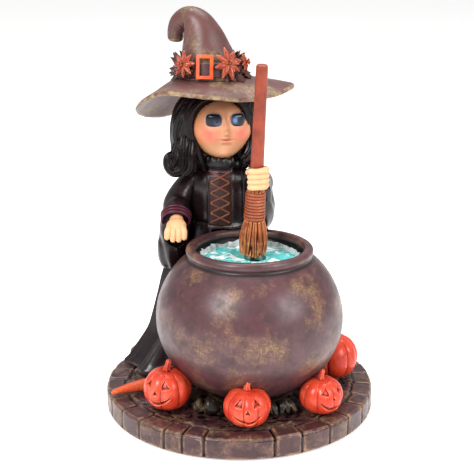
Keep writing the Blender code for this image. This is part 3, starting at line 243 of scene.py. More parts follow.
def stained_resin(
    name,
    base,
    hollow,
    worn,
    patches=0.5,
    gloss=0.45,
    grain=0.00012,
    other=None,
    patch_size=0.020,
    edges=0.85,
    shine=0.35,
    settled=1.0,
    under=0.10,
):
    """Stained cast resin: a mottled base coat, dark wash in the hollows, a worn colour dry-brushed on top."""
    material, tree, shader = new_material(name, base, gloss, Specular_IOR_Level=shine)
    place = add_node(tree, "ShaderNodeTexCoord").outputs["Object"]
    relief = add_node(tree, "ShaderNodeAttribute", attribute_name="relief").outputs["Fac"]
    # Mottling of the stain, about 9 mm across.
    mottle = add_node(
        tree, "ShaderNodeTexNoise", {"Vector": place}, {"Scale": 1 / 0.009, "Detail": 6, "Roughness": 0.65}
    )
    spread = add_node(tree, "ShaderNodeMapRange", {0: mottle.outputs["Fac"]}, {1: 0.36, 2: 0.64})
    coat = add_node(
        tree,
        "ShaderNodeMix",
        {"Factor": spread.outputs[0]},
        {6: linear(base), 7: linear(other or base)},
        data_type="RGBA",
    )
    # Brushed patches: where they lie, and the short crossing strokes that they are made of, about 1 mm apart.
    patch = add_node(
        tree,
        "ShaderNodeTexNoise",
        {"Vector": place},
        {"Scale": 1 / patch_size, "Detail": 5, "Roughness": 0.68},
    )
    patch = add_node(
        tree, "ShaderNodeMapRange", {0: patch.outputs["Fac"]}, {
            1: 0.58 - 0.20 * patches, 2: 0.76 - 0.14 * patches
        }, interpolation_type="SMOOTHSTEP"
    )
    strokes = None
    for turn_by, along in (
        ((0.5, 0.35, 0.6), (1, 1, 0.22)),
        ((-0.4, 0.9, -0.3), (1, 0.25, 1)),
        ((0.2, -0.8, 0.9), (0.25, 1, 1)),
    ):
        slant = add_node(tree, "ShaderNodeMapping", {"Vector": place}, {"Rotation": turn_by, "Scale": along})
        stroke = add_node(
            tree, "ShaderNodeTexNoise", {"Vector": slant.outputs[0]}, {
                "Scale": 1 / 0.0010, "Detail": 4, "Roughness": 0.75, "Distortion": 0.5
            }
        )
        stroke = add_node(
            tree, "ShaderNodeMapRange", {0: stroke.outputs["Fac"]}, {1: 0.50, 2: 0.68}
        ).outputs[0]
        strokes = add_node(
            tree, "ShaderNodeMath", {0: strokes, 1: stroke}, operation="MAXIMUM"
        ).outputs[0] if strokes else stroke
    # A thin even film of the worn colour lies under the strokes.
    strokes = add_node(tree, "ShaderNodeMapRange", {0: strokes}, {3: under, 4: 1.0})
    brushed = add_node(
        tree, "ShaderNodeMath", {0: patch.outputs[0], 1: strokes.outputs[0]}, operation="MULTIPLY"
    )
    brushed = add_node(
        tree,
        "ShaderNodeMath",
        {0: brushed.outputs[0]},
        {1: min(0.85, 0.30 + 0.8 * patches)},
        operation="MULTIPLY",
    )
    # Edges and high spots catch the brush, but not evenly.
    proud = add_node(
        tree, "ShaderNodeMapRange", {0: relief}, {1: 0.58, 2: 0.92, 4: edges}, interpolation_type="SMOOTHSTEP"
    )
    uneven = add_node(
        tree, "ShaderNodeTexNoise", {"Vector": place}, {"Scale": 1 / 0.0045, "Detail": 5, "Roughness": 0.7}
    )
    uneven = add_node(tree, "ShaderNodeMapRange", {0: uneven.outputs["Fac"]}, {1: 0.40, 2: 0.62})
    proud = add_node(
        tree, "ShaderNodeMath", {0: proud.outputs[0], 1: uneven.outputs[0]}, operation="MULTIPLY"
    )
    dry = add_node(tree, "ShaderNodeMath", {0: proud.outputs[0], 1: brushed.outputs[0]}, operation="MAXIMUM")
    coat = add_node(
        tree,
        "ShaderNodeMix",
        {"Factor": dry.outputs[0], 6: coat.outputs[2]},
        {7: linear(worn)},
        data_type="RGBA",
    )
    # The wash that settled in the hollows.
    wash = add_node(
        tree,
        "ShaderNodeMapRange",
        {0: relief},
        {1: 0.46, 2: 0.14, 4: settled},
        interpolation_type="SMOOTHSTEP",
    )
    coat = add_node(
        tree,
        "ShaderNodeMix",
        {"Factor": wash.outputs[0], 6: coat.outputs[2]},
        {7: linear(hollow)},
        data_type="RGBA",
    )
    tree.links.new(coat.outputs[2], shader.inputs["Base Color"])
    sheen = add_node(
        tree,
        "ShaderNodeMapRange",
        {0: mottle.outputs["Fac"]},
        {1: 0.3, 2: 0.7, 3: gloss - 0.08, 4: gloss + 0.12},
    )
    tree.links.new(sheen.outputs[0], shader.inputs["Roughness"])
    tooth = add_node(
        tree, "ShaderNodeTexNoise", {"Vector": place}, {"Scale": 1 / 0.0016, "Detail": 5, "Roughness": 0.6}
    )
    bump = add_node(
        tree, "ShaderNodeBump", {"Height": tooth.outputs["Fac"]}, {"Strength": 0.5, "Distance": grain}
    )
    tree.links.new(bump.outputs[0], shader.inputs["Normal"])
    return material


block_turns = np.radians(np.array(BLOCK_JOINTS))
block_rng = np.random.default_rng(3)
block_lift = block_rng.uniform(-1, 1, len(block_turns) + 1)
block_reach = block_rng.uniform(-1, 1, len(block_turns) + 1)

base_rows = stations(
    (BASE_RADIUS - 0.005, BASE_FOOT, 2),
    (BASE_RADIUS - 0.0006, BASE_FOOT, 2),
    (BASE_RADIUS, BASE_FOOT + 0.0006, 16),
    (BASE_RADIUS, BASE_TOP - 0.0016, 3),
    (BASE_RADIUS - 0.0005, BASE_TOP - 0.0005, 3),
    (BASE_RADIUS - 0.0016, BASE_TOP, 46),
    (0.0500, BASE_TOP, 26),
    (BORE_RADIUS, BASE_TOP, 3),
    (BORE_RADIUS, BASE_TOP - 0.0032, 6),
    (BASE_RADIUS - 0.005, BASE_TOP - 0.0032, 4),
    (BASE_RADIUS - 0.005, BASE_FOOT, 1),
)


def paving(turn, share):
    row = share * (len(base_rows) - 1)
    radius = np.interp(row, np.arange(len(base_rows)), base_rows[:, 0])
    height = np.interp(row, np.arange(len(base_rows)), base_rows[:, 1])
    turned = (turn + math.radians(79)) % (2 * math.pi) - math.radians(79)
    gaps = np.abs((turned[:, None] - block_turns[None, :] + math.pi) % (2 * math.pi) - math.pi).min(axis=1)
    block = np.searchsorted(block_turns, turned)
    rough_point = np.stack([radius * np.sin(turn), -radius * np.cos(turn), height], axis=1)
    wander = lumps(rough_point, 0.006, 2) * 0.00035
    joint = gaps * radius + wander
    inner = BASE_RADIUS - PAVING_WIDTH + 0.0016 * block_reach[block]
    over = np.clip((radius - inner) / 0.0012, -1, 1)
    # How far each point lies below its block's face: deep at a joint and eased off over 2 mm.
    dip = np.exp(-((joint / 0.00052) ** 2)) * 0.0015 + np.exp(-joint / 0.0016) * 0.0004
    end = np.exp(-(((radius - inner) / 0.0007) ** 2)) * 0.0009
    rough = lumps(rough_point, 0.0030, 4) * 0.00016 + lumps(rough_point, 0.0090, 5) * 0.0003
    outer_wall = (row >= 2) & (row <= 24)
    top = (row > 20) & (row < 97)
    wall_push = np.where(outer_wall, dip + np.clip(-rough, 0, 1) + 0.00018 * (1 + block_lift[block]), 0)
    radius = radius - wall_push
    stone = -dip - end + 0.00035 * (block_lift[block] - 1) + rough - 0.0002
    earth = -0.0010 + lumps(rough_point, 0.011, 7) * 0.0009 + lumps(rough_point, 0.0035, 8) * 0.0006 + lumps(
        rough_point, 0.0013, 9
    ) * 0.00022
    high = np.where(over > 0, stone, np.minimum(earth, 0.0002) - end)
    height = height + np.where(top, np.clip(high, -0.0026, 0.0), 0)
    share_in = np.clip((0.070 - radius) / (0.070 - BORE_RADIUS), 0, 1)
    return BORE_X * share_in + radius * np.sin(turn), BORE_Y * share_in - radius * np.cos(turn), height


stained_stone = stained_resin(
    "stained_cast_stone",
    "#472a2c",
    "#0b0505",
    "#9a785a",
    patches=0.68,
    gloss=0.30,
    grain=0.0004,
    other="#331c20",
    patch_size=0.017,
    edges=0.75,
    shine=0.45,
)
base = wrapped("paved_base", 864, len(base_rows) - 1, paving)
fix(base, stained_stone, "figure", "resin_brown", "stone_base", passes=12, depth=0.00026)

# ---- Cauldron ----
# A hollow polyresin pot, cast in two halves and glued, with a thick rolled rim that carries the potion.
# Mauve-brown stain with ochre rubbed over its belly in short strokes, and a black inside.

POT_X, POT_Y = 0.006, -0.015
POT_RADIUS, POT_HALF, POT_MIDDLE = 0.0560, 0.0500, 0.0620
RIM_RADIUS, RIM_ROLL, RIM_MIDDLE = 0.0348, 0.0029, 0.1030
POTION_TOP = 0.0965


def pot_radius(height, wall=0.0):
    """The pot's radius at a height, outside or this far in."""
    rise = (np.asarray(height) - POT_MIDDLE) / (POT_HALF - wall)
    return (POT_RADIUS - wall) * np.sqrt(np.clip(1 - rise * rise, 0, None))


pot_rows = [(0.0222, BASE_TOP + 0.0003), (0.0262, BASE_TOP + 0.0003), (0.0270, BASE_TOP + 0.0009)]
pot_rows += [(max(float(pot_radius(z)), 0.0270), z) for z in np.linspace(0.0162, 0.0995, 110)]
for turn in np.radians(np.linspace(-62, 176, 30)):
    # The roll, squeezed a little on its outside as the cast band is.
    pot_rows.append(
        (
            RIM_RADIUS + RIM_ROLL * math.copysign(abs(math.cos(turn)) ** 0.8, math.cos(turn)),
            RIM_MIDDLE + RIM_ROLL * 0.98 * math.sin(turn),
        )
    )
pot_rows += [
    (0.0321, 0.1022), (0.0325, 0.1014), (0.0327, 0.1004), (0.0322, 0.0996), (0.0313, 0.0990), (0.0313, 0.0965)
]
pot_rows += [(0.0313, 0.0928), (0.0291, 0.0928), (0.0291, 0.0908)]
pot_rows += [(max(float(pot_radius(z, 0.004)), 0.0222), z) for z in np.linspace(0.0866, 0.0188, 30)]
pot_rows += [(0.0222, 0.0188), (0.0222, BASE_TOP + 0.0003)]
pot_rows = np.array(pot_rows)


def pot_skin(turn, share):
    row = share * (len(pot_rows) - 1)
    radius = np.interp(row, np.arange(len(pot_rows)), pot_rows[:, 0])
    height = np.interp(row, np.arange(len(pot_rows)), pot_rows[:, 1])
    at = np.stack([radius * np.cos(turn), radius * np.sin(turn), height], axis=1)
    outside = (row > 4) & (row < 145)
    radius = radius + np.where(
        outside, lumps(at, 0.020, 3) * 0.00022 + lumps(at, 0.006, 5) * 0.00006 - 0.00012, 0
    )
    return POT_X + radius * np.cos(turn), POT_Y + radius * np.sin(turn), height


pot = wrapped("cauldron_pot", 396, len(pot_rows) - 1, pot_skin)
stained_pot = stained_resin(
    "rubbed_pot_resin",
    "#523136",
    "#120909",
    "#a07c54",
    patches=0.60,
    gloss=0.36,
    other="#3a2023",
    patch_size=0.019,
    edges=0.45,
    shine=0.5,
    settled=0.85,
    under=0.14,
)
fix(pot, stained_pot, "figure", "resin_brown", "cauldron", passes=9, depth=0.00020)
black_inside = stained_resin("black_washed_resin", "#120c0c", "#060404", "#2a1f1b", patches=0.2, gloss=0.42)
pot.data.materials.append(black_inside)
mesh_points = points_of(pot)
out_from_axis = np.hypot(mesh_points[:, 0] - POT_X, mesh_points[:, 1] - POT_Y)
for face in pot.data.polygons:
    corner = face.vertices[0]
    if mesh_points[corner][2] < 0.1022 and out_from_axis[corner] < float(
        pot_radius(mesh_points[corner][2])
    ) - 0.002 and mesh_points[corner][2] > 0.018 and out_from_axis[corner] < 0.0329:
        face.material_index = 1

# ---- Potion and its film ----
# The potion is a disc of translucent aqua resin, cast with swirls and flecks of white foam while it set.
# Crumpled clear film stands up round its edge, higher behind than in front.

STIR_X, STIR_Y, STIR_HOLE = 0.0093, -0.0102, 0.0067
POTION_EDGE = 0.0308


def potion_skin(turn, share):
    down = share * 60
    out = np.interp(down, (0, 2, 48, 52, 60), (0, 0, 1, 1, 0))
    level = np.interp(
        down,
        (0, 2, 48, 52, 60),
        (POTION_TOP - 0.0035, POTION_TOP, POTION_TOP, POTION_TOP - 0.0033, POTION_TOP - 0.0035),
    )
    edge_x, edge_y = POT_X + POTION_EDGE * np.cos(turn), POT_Y + POTION_EDGE * np.sin(turn)
    hole_x, hole_y = STIR_X + STIR_HOLE * np.cos(turn), STIR_Y + STIR_HOLE * np.sin(turn)
    x, y = hole_x + (edge_x - hole_x) * out, hole_y + (edge_y - hole_y) * out
    at = np.stack([x, y, 0 * x], axis=1)
    reach = np.hypot(x - 0.0099, y + 0.0102)
    swirl = np.sin(3 * np.arctan2(y - POT_Y, x - POT_X) + reach * 420 + 2.2 * lumps(at, 0.010, 9))
    wave = 0.00035 * swirl + 0.0005 * lumps(at, 0.005, 3) + 0.00025 * lumps(at, 0.002, 6)
    free = np.clip((reach - 0.0125) / 0.006, 0.15, 1)
    level = level + np.where((down > 2) & (down < 49), wave * free * (0.6 + 0.9 * free), 0)
    return x, y, level


potion = wrapped("swirled_potion", 260, 60, potion_skin)
aqua, tree, shader = new_material("aqua_cast_resin", "#3fbcb6", 0.16, IOR=1.5)
place = add_node(tree, "ShaderNodeTexCoord").outputs["Object"]
centred = add_node(tree, "ShaderNodeMapping", {"Vector": place}, {"Location": (-POT_X, -POT_Y, -POTION_TOP)})
drift = add_node(
    tree,
    "ShaderNodeTexNoise",
    {"Vector": centred.outputs[0]},
    {"Scale": 1 / 0.009, "Detail": 3, "Distortion": 1.6},
)
tone = add_node(
    tree, "ShaderNodeMix", {"Factor": drift.outputs["Fac"]}, {
        6: linear("#1c9a9c"), 7: linear("#74dcd6")
    }, data_type="RGBA"
)
foam = add_node(
    tree,
    "ShaderNodeTexNoise",
    {"Vector": centred.outputs[0]},
    {"Scale": 1 / 0.0085, "Detail": 4, "Roughness": 0.55, "Distortion": 1.1},
)
foam = add_node(tree, "ShaderNodeMapRange", {0: foam.outputs["Fac"]}, {1: 0.50, 2: 0.575, 4: 0.90})
tone = add_node(
    tree,
    "ShaderNodeMix",
    {"Factor": foam.outputs[0], 6: tone.outputs[2]},
    {7: linear("#f2fbfa")},
    data_type="RGBA",
)
vein = add_node(
    tree,
    "ShaderNodeTexNoise",
    {"Vector": centred.outputs[0]},
    {"Scale": 1 / 0.0040, "Detail": 2, "Distortion": 3.0},
)
vein = add_node(tree, "ShaderNodeMath", {0: vein.outputs["Fac"]}, {1: 0.5}, operation="SUBTRACT")
vein = add_node(tree, "ShaderNodeMath", {0: vein.outputs[0]}, operation="ABSOLUTE")
vein = add_node(tree, "ShaderNodeMapRange", {0: vein.outputs[0]}, {1: 0.010, 2: 0.0, 3: 0.0, 4: 0.45})
tone = add_node(
    tree,
    "ShaderNodeMix",
    {"Factor": vein.outputs[0], 6: tone.outputs[2]},
    {7: linear("#0b5f63")},
    data_type="RGBA",
)
tree.links.new(tone.outputs[2], shader.inputs["Base Color"])
tree.links.new(tone.outputs[2], shader.inputs["Emission Color"])
shader.inputs["Emission Strength"].default_value = 0.18
shader.inputs["Coat Weight"].default_value = 0.5
shader.inputs["Coat Roughness"].default_value = 0.08
ripple = add_node(
    tree,
    "ShaderNodeTexNoise",
    {"Vector": centred.outputs[0]},
    {"Scale": 1 / 0.0022, "Detail": 3, "Distortion": 1.0},
)
bump = add_node(
    tree, "ShaderNodeBump", {"Height": ripple.outputs["Fac"]}, {"Strength": 0.6, "Distance": 0.0005}
)
tree.links.new(bump.outputs[0], shader.inputs["Normal"])
fix(potion, aqua, "figure", "resin_potion", "potion")


def film_skin(turn, share):
    # Up the outside, over the torn edge and down the inside of a sheet that is folded along its length.
    up = np.interp(share, (0, 0.46, 0.54, 1), (0, 1, 1, 0))
    inside = 0.00010 * np.interp(share, (0, 0.03, 0.47, 0.53, 0.97, 1), (0, 1, 1, -1, -1, 0))
    behind = 0.5 + 0.5 * np.sin(turn - 0.25)
    left = np.exp(-(((turn - math.pi * 1.08 + math.pi) % (2 * math.pi) - math.pi) ** 2) / 0.15)
    ring = np.stack([0.028 * np.cos(turn), 0.028 * np.sin(turn), up * 0.004], axis=1)
    fold = np.sin(turn * 23 + 2.5 * lumps(ring, 0.010, 4)) * 0.5 + np.sin(
        turn * 41 + 4 * lumps(ring, 0.006, 8)
    ) * 0.3
    top = 0.0014 + 0.0034 * behind + 0.0034 * left + 0.0017 * lumps(ring * [1, 1, 0], 0.0055, 5) * (
        0.4 + behind
    )
    radius = 0.0284 + (0.0011 * behind + 0.0004) * fold * (
        0.25 + 0.75 * up
    ) + 0.0006 * up + inside + 0.0004 * lumps(ring, 0.002, 2) * up
    return POT_X + radius * np.cos(turn), POT_Y + radius * np.sin(turn), POTION_TOP + 0.0001 + top * up


film = wrapped("crumpled_film", 420, 24, film_skin)
clear, tree, shader = new_material("crumpled_clear_film", "#f2f7f6", 0.12, IOR=1.45)
shader.inputs["Transmission Weight"].default_value = 0.38
shader.inputs["Alpha"].default_value = 0.66
place = add_node(tree, "ShaderNodeTexCoord").outputs["Object"]
crinkle = add_node(
    tree, "ShaderNodeTexNoise", {"Vector": place}, {"Scale": 1 / 0.0016, "Detail": 4, "Distortion": 1.4}
)
bump = add_node(
    tree, "ShaderNodeBump", {"Height": crinkle.outputs["Fac"]}, {"Strength": 0.9, "Distance": 0.0005}
)
tree.links.new(bump.outputs[0], shader.inputs["Normal"])
fix(film, clear, "figure", "clear_film", "potion_film")

# ---- Broom ----
# Cast resin in the shape of a besom: a smooth handle, a bundle of twigs, and nine turns of cord round its
# neck. It pivots in the fist and its foot goes round in a circle, so each point lies along its leaning axis.

PIVOT = np.array([0.0099, -0.0102, 0.1461])
BROOM_AXIS = np.array([0.041821, -0.066928, 0.996881])
BROOM_SIDE = np.cross([0, 1, 0], BROOM_AXIS) / np.linalg.norm(np.cross([0, 1, 0], BROOM_AXIS))
BROOM_FRONT = np.cross(BROOM_AXIS, BROOM_SIDE)


def on_broom(radius, turn, along):
    """Points round the broom's axis, this far along it from the pivot."""
    out = radius * np.cos(turn)
    ahead = radius * np.sin(turn)
    return tuple(
        PIVOT[k] + out * BROOM_SIDE[k] + ahead * BROOM_FRONT[k] + along * BROOM_AXIS[k] for k in range(3)
    )


def profile_skin(rows, vary=None):
    """A shape for wrapped(): a profile turned round the broom, with a rule that varies radius and place."""

    def shape(turn, share):
        row = share * (len(rows) - 1)
        radius = np.interp(row, np.arange(len(rows)), rows[:, 0])
        along = np.interp(row, np.arange(len(rows)), rows[:, 1])
        if vary:
            radius, along = vary(turn, row, radius, along)
        return on_broom(radius, turn, along)

    return shape


stick_rows = stations(
    (0, -0.0186, 3), (0.0036, -0.0186, 2), (0.0039, -0.0182, 30), (0.0039, 0.0075, 60), (0.0034, 0.0642, 3),
    (0.0032, 0.0653, 2), (0.0026, 0.0658, 2), (0.0014, 0.0659, 2), (0, 0.0660, 1),
)


def whittle(turn, row, radius, along):
    at = np.stack([radius * np.cos(turn), radius * np.sin(turn), along * 0.16], axis=1)
    return radius * (1 + 0.020 * lumps(at, 0.0022, 2) + 0.008 * np.cos(turn * 3 + along * 60)), along


stick = wrapped("broom_handle", 72, len(stick_rows) - 1, profile_skin(stick_rows, whittle))
red_wood = stained_resin(
    "painted_handle_resin",
    "#8f3a22",
    "#3a1007",
    "#b0603c",
    patches=0.30,
    gloss=0.36,
    other="#742a18",
    patch_size=0.012,
    grain=0.00008,
)
fix(stick, red_wood, "broom", "resin_broom", "broom_stick", passes=8, depth=0.0002)

BINDING_LOW, BINDING_HIGH, BINDING_TURNS = -0.0260, -0.0092, 9
twig_rows = stations(
    (0.0018, -0.0479, 6), (0.0070, -0.0484, 2), (0.0078, -0.0479, 6), (0.0083, -0.0440, 8),
    (0.0086, -0.0390, 20), (0.0074, -0.0313, 14), (0.0060, -0.0266, 4), (0.0049, -0.0258, 24),
    (0.0049, -0.0094, 4), (0.0052, -0.0089, 8), (0.0050, -0.0071, 2), (0.0044, -0.0069, 1),
    (0.0042, -0.0072, 1), (0.0042, -0.0190, 2), (0.0018, -0.0192, 6), (0.0018, -0.0479, 1),
)
twig_rng = np.random.default_rng(5)
TWIGS = 27
twig_place = (np.arange(TWIGS) + twig_rng.uniform(-0.32, 0.32, TWIGS)) * 2 * math.pi / TWIGS
twig_end = twig_rng.uniform(0, 1, TWIGS)
twig_proud = twig_rng.uniform(-1, 1, TWIGS)


def bundle(turn, row, radius, along):
    # Each twig is a round ridge that wanders a little on its way down, with a few crossing its neighbour.
    bend = turn + 0.10 * np.sin(along * 260 + 3 * np.sin(turn * 5)) * np.clip((-0.026 - along) / 0.02, 0, 1)
    away = (bend[:, None] - twig_place[None, :] + math.pi) % (2 * math.pi) - math.pi
    nearest = np.abs(away).argmin(axis=1)
    off = np.abs(away).min(axis=1) / (math.pi / TWIGS)
    shown = np.where((along < BINDING_LOW) | (along > BINDING_HIGH), 1.0, 0.25) * np.clip(
        radius / 0.004 - 0.6, 0, 1
    )
    groove = np.clip(off, 0, 1.25) ** 2.2
    radius = radius - shown * (0.00120 * groove - 0.00030 * twig_proud[nearest])
    foot = np.clip((-0.0440 - along) / 0.0035, 0, 1)
    along = along + foot * 0.0011 * twig_end[nearest] * np.clip(radius / 0.006, 0, 1)
    top = np.clip((along + 0.0088) / 0.0018, 0, 1)
    return radius, along - top * 0.0009 * twig_end[nearest]


twigs = wrapped("broom_twigs", 420, len(twig_rows) - 1, profile_skin(twig_rows, bundle))
twig_resin = stained_resin(
    "painted_twig_resin",
    "#b3683a",
    "#260c05",
    "#eab070",
    patches=0.55,
    gloss=0.45,
    other="#83391e",
    settled=1.0,
    patch_size=0.008,
    grain=0.0001,
)
fix(twigs, twig_resin, "broom", "resin_broom", "broom_bristles", passes=10, depth=0.00014)

cord_rows = stations(
    (0.0052, BINDING_LOW, 3),
    (0.0061, BINDING_LOW, 150),
    (0.0056, BINDING_HIGH, 3),
    (0.0052, BINDING_HIGH, 6),
    (0.0052, BINDING_LOW, 1),
)


def cord_turns(turn, row, radius, along):
    up = np.clip((along - BINDING_LOW) / (BINDING_HIGH - BINDING_LOW), 0, 1)
    phase = (up * BINDING_TURNS + 0.05 * np.sin(turn * 2 + up * 9)) * 2 * math.pi
    round_cord = np.abs(np.sin(phase / 2))
    outside = (row >= 3) & (row <= 153)
    lay = 0.00006 * np.sin(turn * 26 + up * BINDING_TURNS * 9)
    return radius + np.where(outside, 0.00074 * round_cord ** 0.7 - 0.00042 + lay * round_cord, 0), along


cord = wrapped("broom_cord", 180, len(cord_rows) - 1, profile_skin(cord_rows, cord_turns))
cord_resin = stained_resin(
    "painted_cord_resin",
    "#9c4c2c",
    "#280a05",
    "#d08f60",
    patches=0.45,
    gloss=0.42,
    other="#82361f",
    patch_size=0.008,
    grain=0.00008,
)
fix(cord, cord_resin, "broom", "resin_broom", "broom_binding", passes=10, depth=0.00012)

# ---- Robe ----
# Robe and body are one polyresin casting, near-black plum with a soft gloss, seated against the pot.
# The skirt falls in deep folds to a spread hem, and the front has two flat lapels over a laced bodice.

# Height, left edge, right edge, middle in Y, half depth.
ROBE_RINGS = np.array([
    (0.0147, -0.0735, 0.0470, 0.0270, 0.0385), (0.0300, -0.0635, 0.0410, 0.0290, 0.0330),
    (0.0420, -0.0570, 0.0370, 0.0300, 0.0300), (0.0620, -0.0525, 0.0320, 0.0320, 0.0260),
    (0.0820, -0.0470, 0.0250, 0.0335, 0.0225), (0.1025, -0.0345, 0.0165, 0.0340, 0.0185),
    (0.1200, -0.0335, 0.0145, 0.0320, 0.0170), (0.1320, -0.0325, 0.0130, 0.0300, 0.0150),
    (0.1395, -0.0280, 0.0075, 0.0290, 0.0120), (0.1437, -0.0200, -0.0010, 0.0280, 0.0080),
])
LAPEL_LEFT, LAPEL_RIGHT = -0.0187, -0.0049  # the opening's edges over the bodice
WAIST = 0.1094


def run_through(keys, share):
    """Values on a smooth curve through evenly spaced keys, for shares from 0 to 1."""
    keys = np.asarray(keys, float)
    last = len(keys) - 1
    at = np.clip(share, 0, 1) * last
    low = np.minimum(at.astype(int), last - 1)
    t = (at - low)[:, None]
    a, b, c, d = keys[np.maximum(low - 1, 0)], keys[low], keys[low + 1], keys[np.minimum(low + 2, last)]
    return 0.5 * (2 * b + (c - a) * t + (2 * a - 5 * b + 4 * c - d) * t**2 + (3 * b - a - 3 * c + d) * t**3)


def clear_of_pot(points, gap=0.0004):
    """Points inside the pot are pushed out to just off its surface."""
    from_x, from_y, z = points[:, 0] - POT_X, points[:, 1] - POT_Y, points[:, 2]
    reach = np.where(z < 0.0998, pot_radius(z), np.where(z < 0.1062, 0.0378, 0.0)) + gap
    out = np.maximum(np.hypot(from_x, from_y), 1e-6)
    push = np.where((out < reach) & (reach > 0.002), reach / out, 1.0)
    return np.stack([POT_X + from_x * push, POT_Y + from_y * push, z], axis=1)


def robe_skin(turn, share):
    body = np.clip((share - 0.03) / 0.94, 0, 1)
    height, left, right, middle_y, half_depth = run_through(ROBE_RINGS, body).T
    x = (left + right) / 2 + (right - left) / 2 * np.cos(turn)
    y = middle_y + half_depth * np.sin(turn)
    at = np.stack([np.cos(turn) * 0.05, np.sin(turn) * 0.05, height], axis=1)
    drop = np.clip((0.112 - height) / 0.09, 0, 1)
    # Deep folds below the waist, narrower where they start.
    phase = turn * 13 + 1.9 * lumps(at * [1, 1, 0.35], 0.030, 3) + 4.0 * drop * lumps(
        at * [1, 1, 0.2], 0.055, 6
    )
    fold = 1 - 2 * np.abs(np.sin(phase / 2)) ** 1.35
    fine = np.sin(turn * 31 + 2.5 * lumps(at * [1, 1, 0.25], 0.02, 8))
    depth = 0.0003 + 0.0026 * drop ** 0.8
    push = np.where(height < 0.112, fold * depth + fine * 0.00035 * drop - depth * 0.5, 0)
    push = push + lumps(at, 0.014, 2) * 0.00035
    # Gathered into the waist: the skirt stands a little prouder than the bodice.
    push = push + 0.0014 / (1 + np.exp((height - WAIST) / 0.0004)) * np.clip((height - 0.085) / 0.02, 0, 1)
    # The hem's rolled edge.
    push = push + 0.0012 * np.exp(-(((height - 0.0175) / 0.0022) ** 2))
    front = (np.sin(turn) < 0) & (height > WAIST) & (height < 0.1428)
    inside_opening = front & (x > LAPEL_LEFT) & (x < LAPEL_RIGHT)
    edge = np.minimum(np.abs(x - LAPEL_LEFT), np.abs(x - LAPEL_RIGHT))
    push = push - np.where(inside_opening, 0.0011 * np.clip(edge / 0.0005, 0, 1), 0)
    push = push + np.where(front & ~inside_opening, 0.00045 * np.exp(-((edge / 0.0009) ** 2)), 0)
    outer_edge = np.where(front, np.minimum(np.abs(x + 0.0289), np.abs(x - 0.0022)), 1)
    push = push - 0.0006 * np.exp(-((outer_edge / 0.0005) ** 2))
    x = x + push * np.cos(turn)
    y = y + push * np.sin(turn)
    # Both ends close to a pole, the foot flat and the neck under the collar.
    foot, neck = np.clip(share / 0.03, 0, 1), np.clip((1 - share) / 0.03, 0, 1)
    x = -0.01325 + (x + 0.01325) * foot
    y = 0.0270 + (y - 0.0270) * foot
    x = np.where(share > 0.97, -0.0105 + (x + 0.0105) * neck, x)
    y = np.where(share > 0.97, 0.0280 + (y - 0.0280) * neck, y)
    return tuple(clear_of_pot(np.stack([x, y, height + 0.0006 * (1 - neck)], axis=1)).T)


plum_resin = stained_resin(
    "plum_black_resin",
    "#1f1013",
    "#070304",
    "#4c3a3f",
    patches=0.20,
    gloss=0.27,
    other="#160a0d",
    patch_size=0.030,
    grain=0.00006,
    edges=0.30,
    shine=0.42,
)
robe = wrapped("folded_robe", 460, 208, robe_skin)
fix(robe, plum_resin, "figure", "resin_robe", "robe", passes=22, depth=0.0006)


def chest_front(x, z, proud=0.0):
    """Where the front of the robe's body lies at a place across and a height."""
    left, right, middle_y, half_depth = (
        np.interp(z, ROBE_RINGS[:, 0], ROBE_RINGS[:, k]) for k in range(1, 5)
    )
    aside = np.clip((x - (left + right) / 2) / ((right - left) / 2), -0.98, 0.98)
    return middle_y - half_depth * np.sqrt(1 - aside**2) - proud


def plate(name, across, up, thickness, shape):
    """A thin curved piece laid on another: a grid placed by shape, then given its wall."""
    deselect()
    bpy.ops.mesh.primitive_grid_add(x_subdivisions=across, y_subdivisions=up, size=1)
    piece = bpy.context.object
    piece.name = name
    flat = points_of(piece)
    move_to(piece, np.stack(shape(flat[:, 0] + 0.5, flat[:, 1] + 0.5), axis=1))
    wall = piece.modifiers.new("wall", "SOLIDIFY")
    wall.thickness = thickness
    wall.offset = 0
    bpy.ops.object.modifier_apply(modifier="wall")
    bpy.ops.object.mode_set(mode="EDIT")
    bpy.ops.mesh.select_all(action="SELECT")
    bpy.ops.mesh.normals_make_consistent(inside=False)
    bpy.ops.object.mode_set(mode="OBJECT")
    return piece


def bodice_shape(u, v):
    x = LAPEL_LEFT + 0.0003 + (LAPEL_RIGHT - LAPEL_LEFT - 0.0006) * u
    z = 0.1096 + 0.0330 * v
    return x, chest_front(x, z, -0.0004 + 0.0006 * np.sin(math.pi * u)), z


bodice = plate("laced_bodice", 40, 80, 0.0009, bodice_shape)
maroon_resin = stained_resin(
    "maroon_painted_resin",
    "#280b08",
    "#0c0303",
    "#54281a",
    patches=0.6,
    gloss=0.36,
    other="#33120f",
    patch_size=0.010,
    grain=0.00006,
)
fix(bodice, maroon_resin, "figure", "resin_robe")


def yoke_shape(u, v):
    half = 0.0070 - 0.0006 * v
    x = -0.0117 + 0.0006 * v + (u * 2 - 1) * half
    z = 0.1418 + 0.0034 * v
    return x, chest_front(x, z, 0.0004 + 0.0010 * np.sin(math.pi * u)), z


yoke = plate("pale_yoke", 36, 20, 0.0014, yoke_shape)
mauve_resin = stained_resin(
    "mauve_painted_resin",
    "#3f2b31",
    "#140b0e",
    "#8d7c84",
    patches=0.4,
    gloss=0.26,
    other="#33222a",
    patch_size=0.008,
    grain=0.00006,
)
fix(yoke, mauve_resin, "figure", "resin_robe")


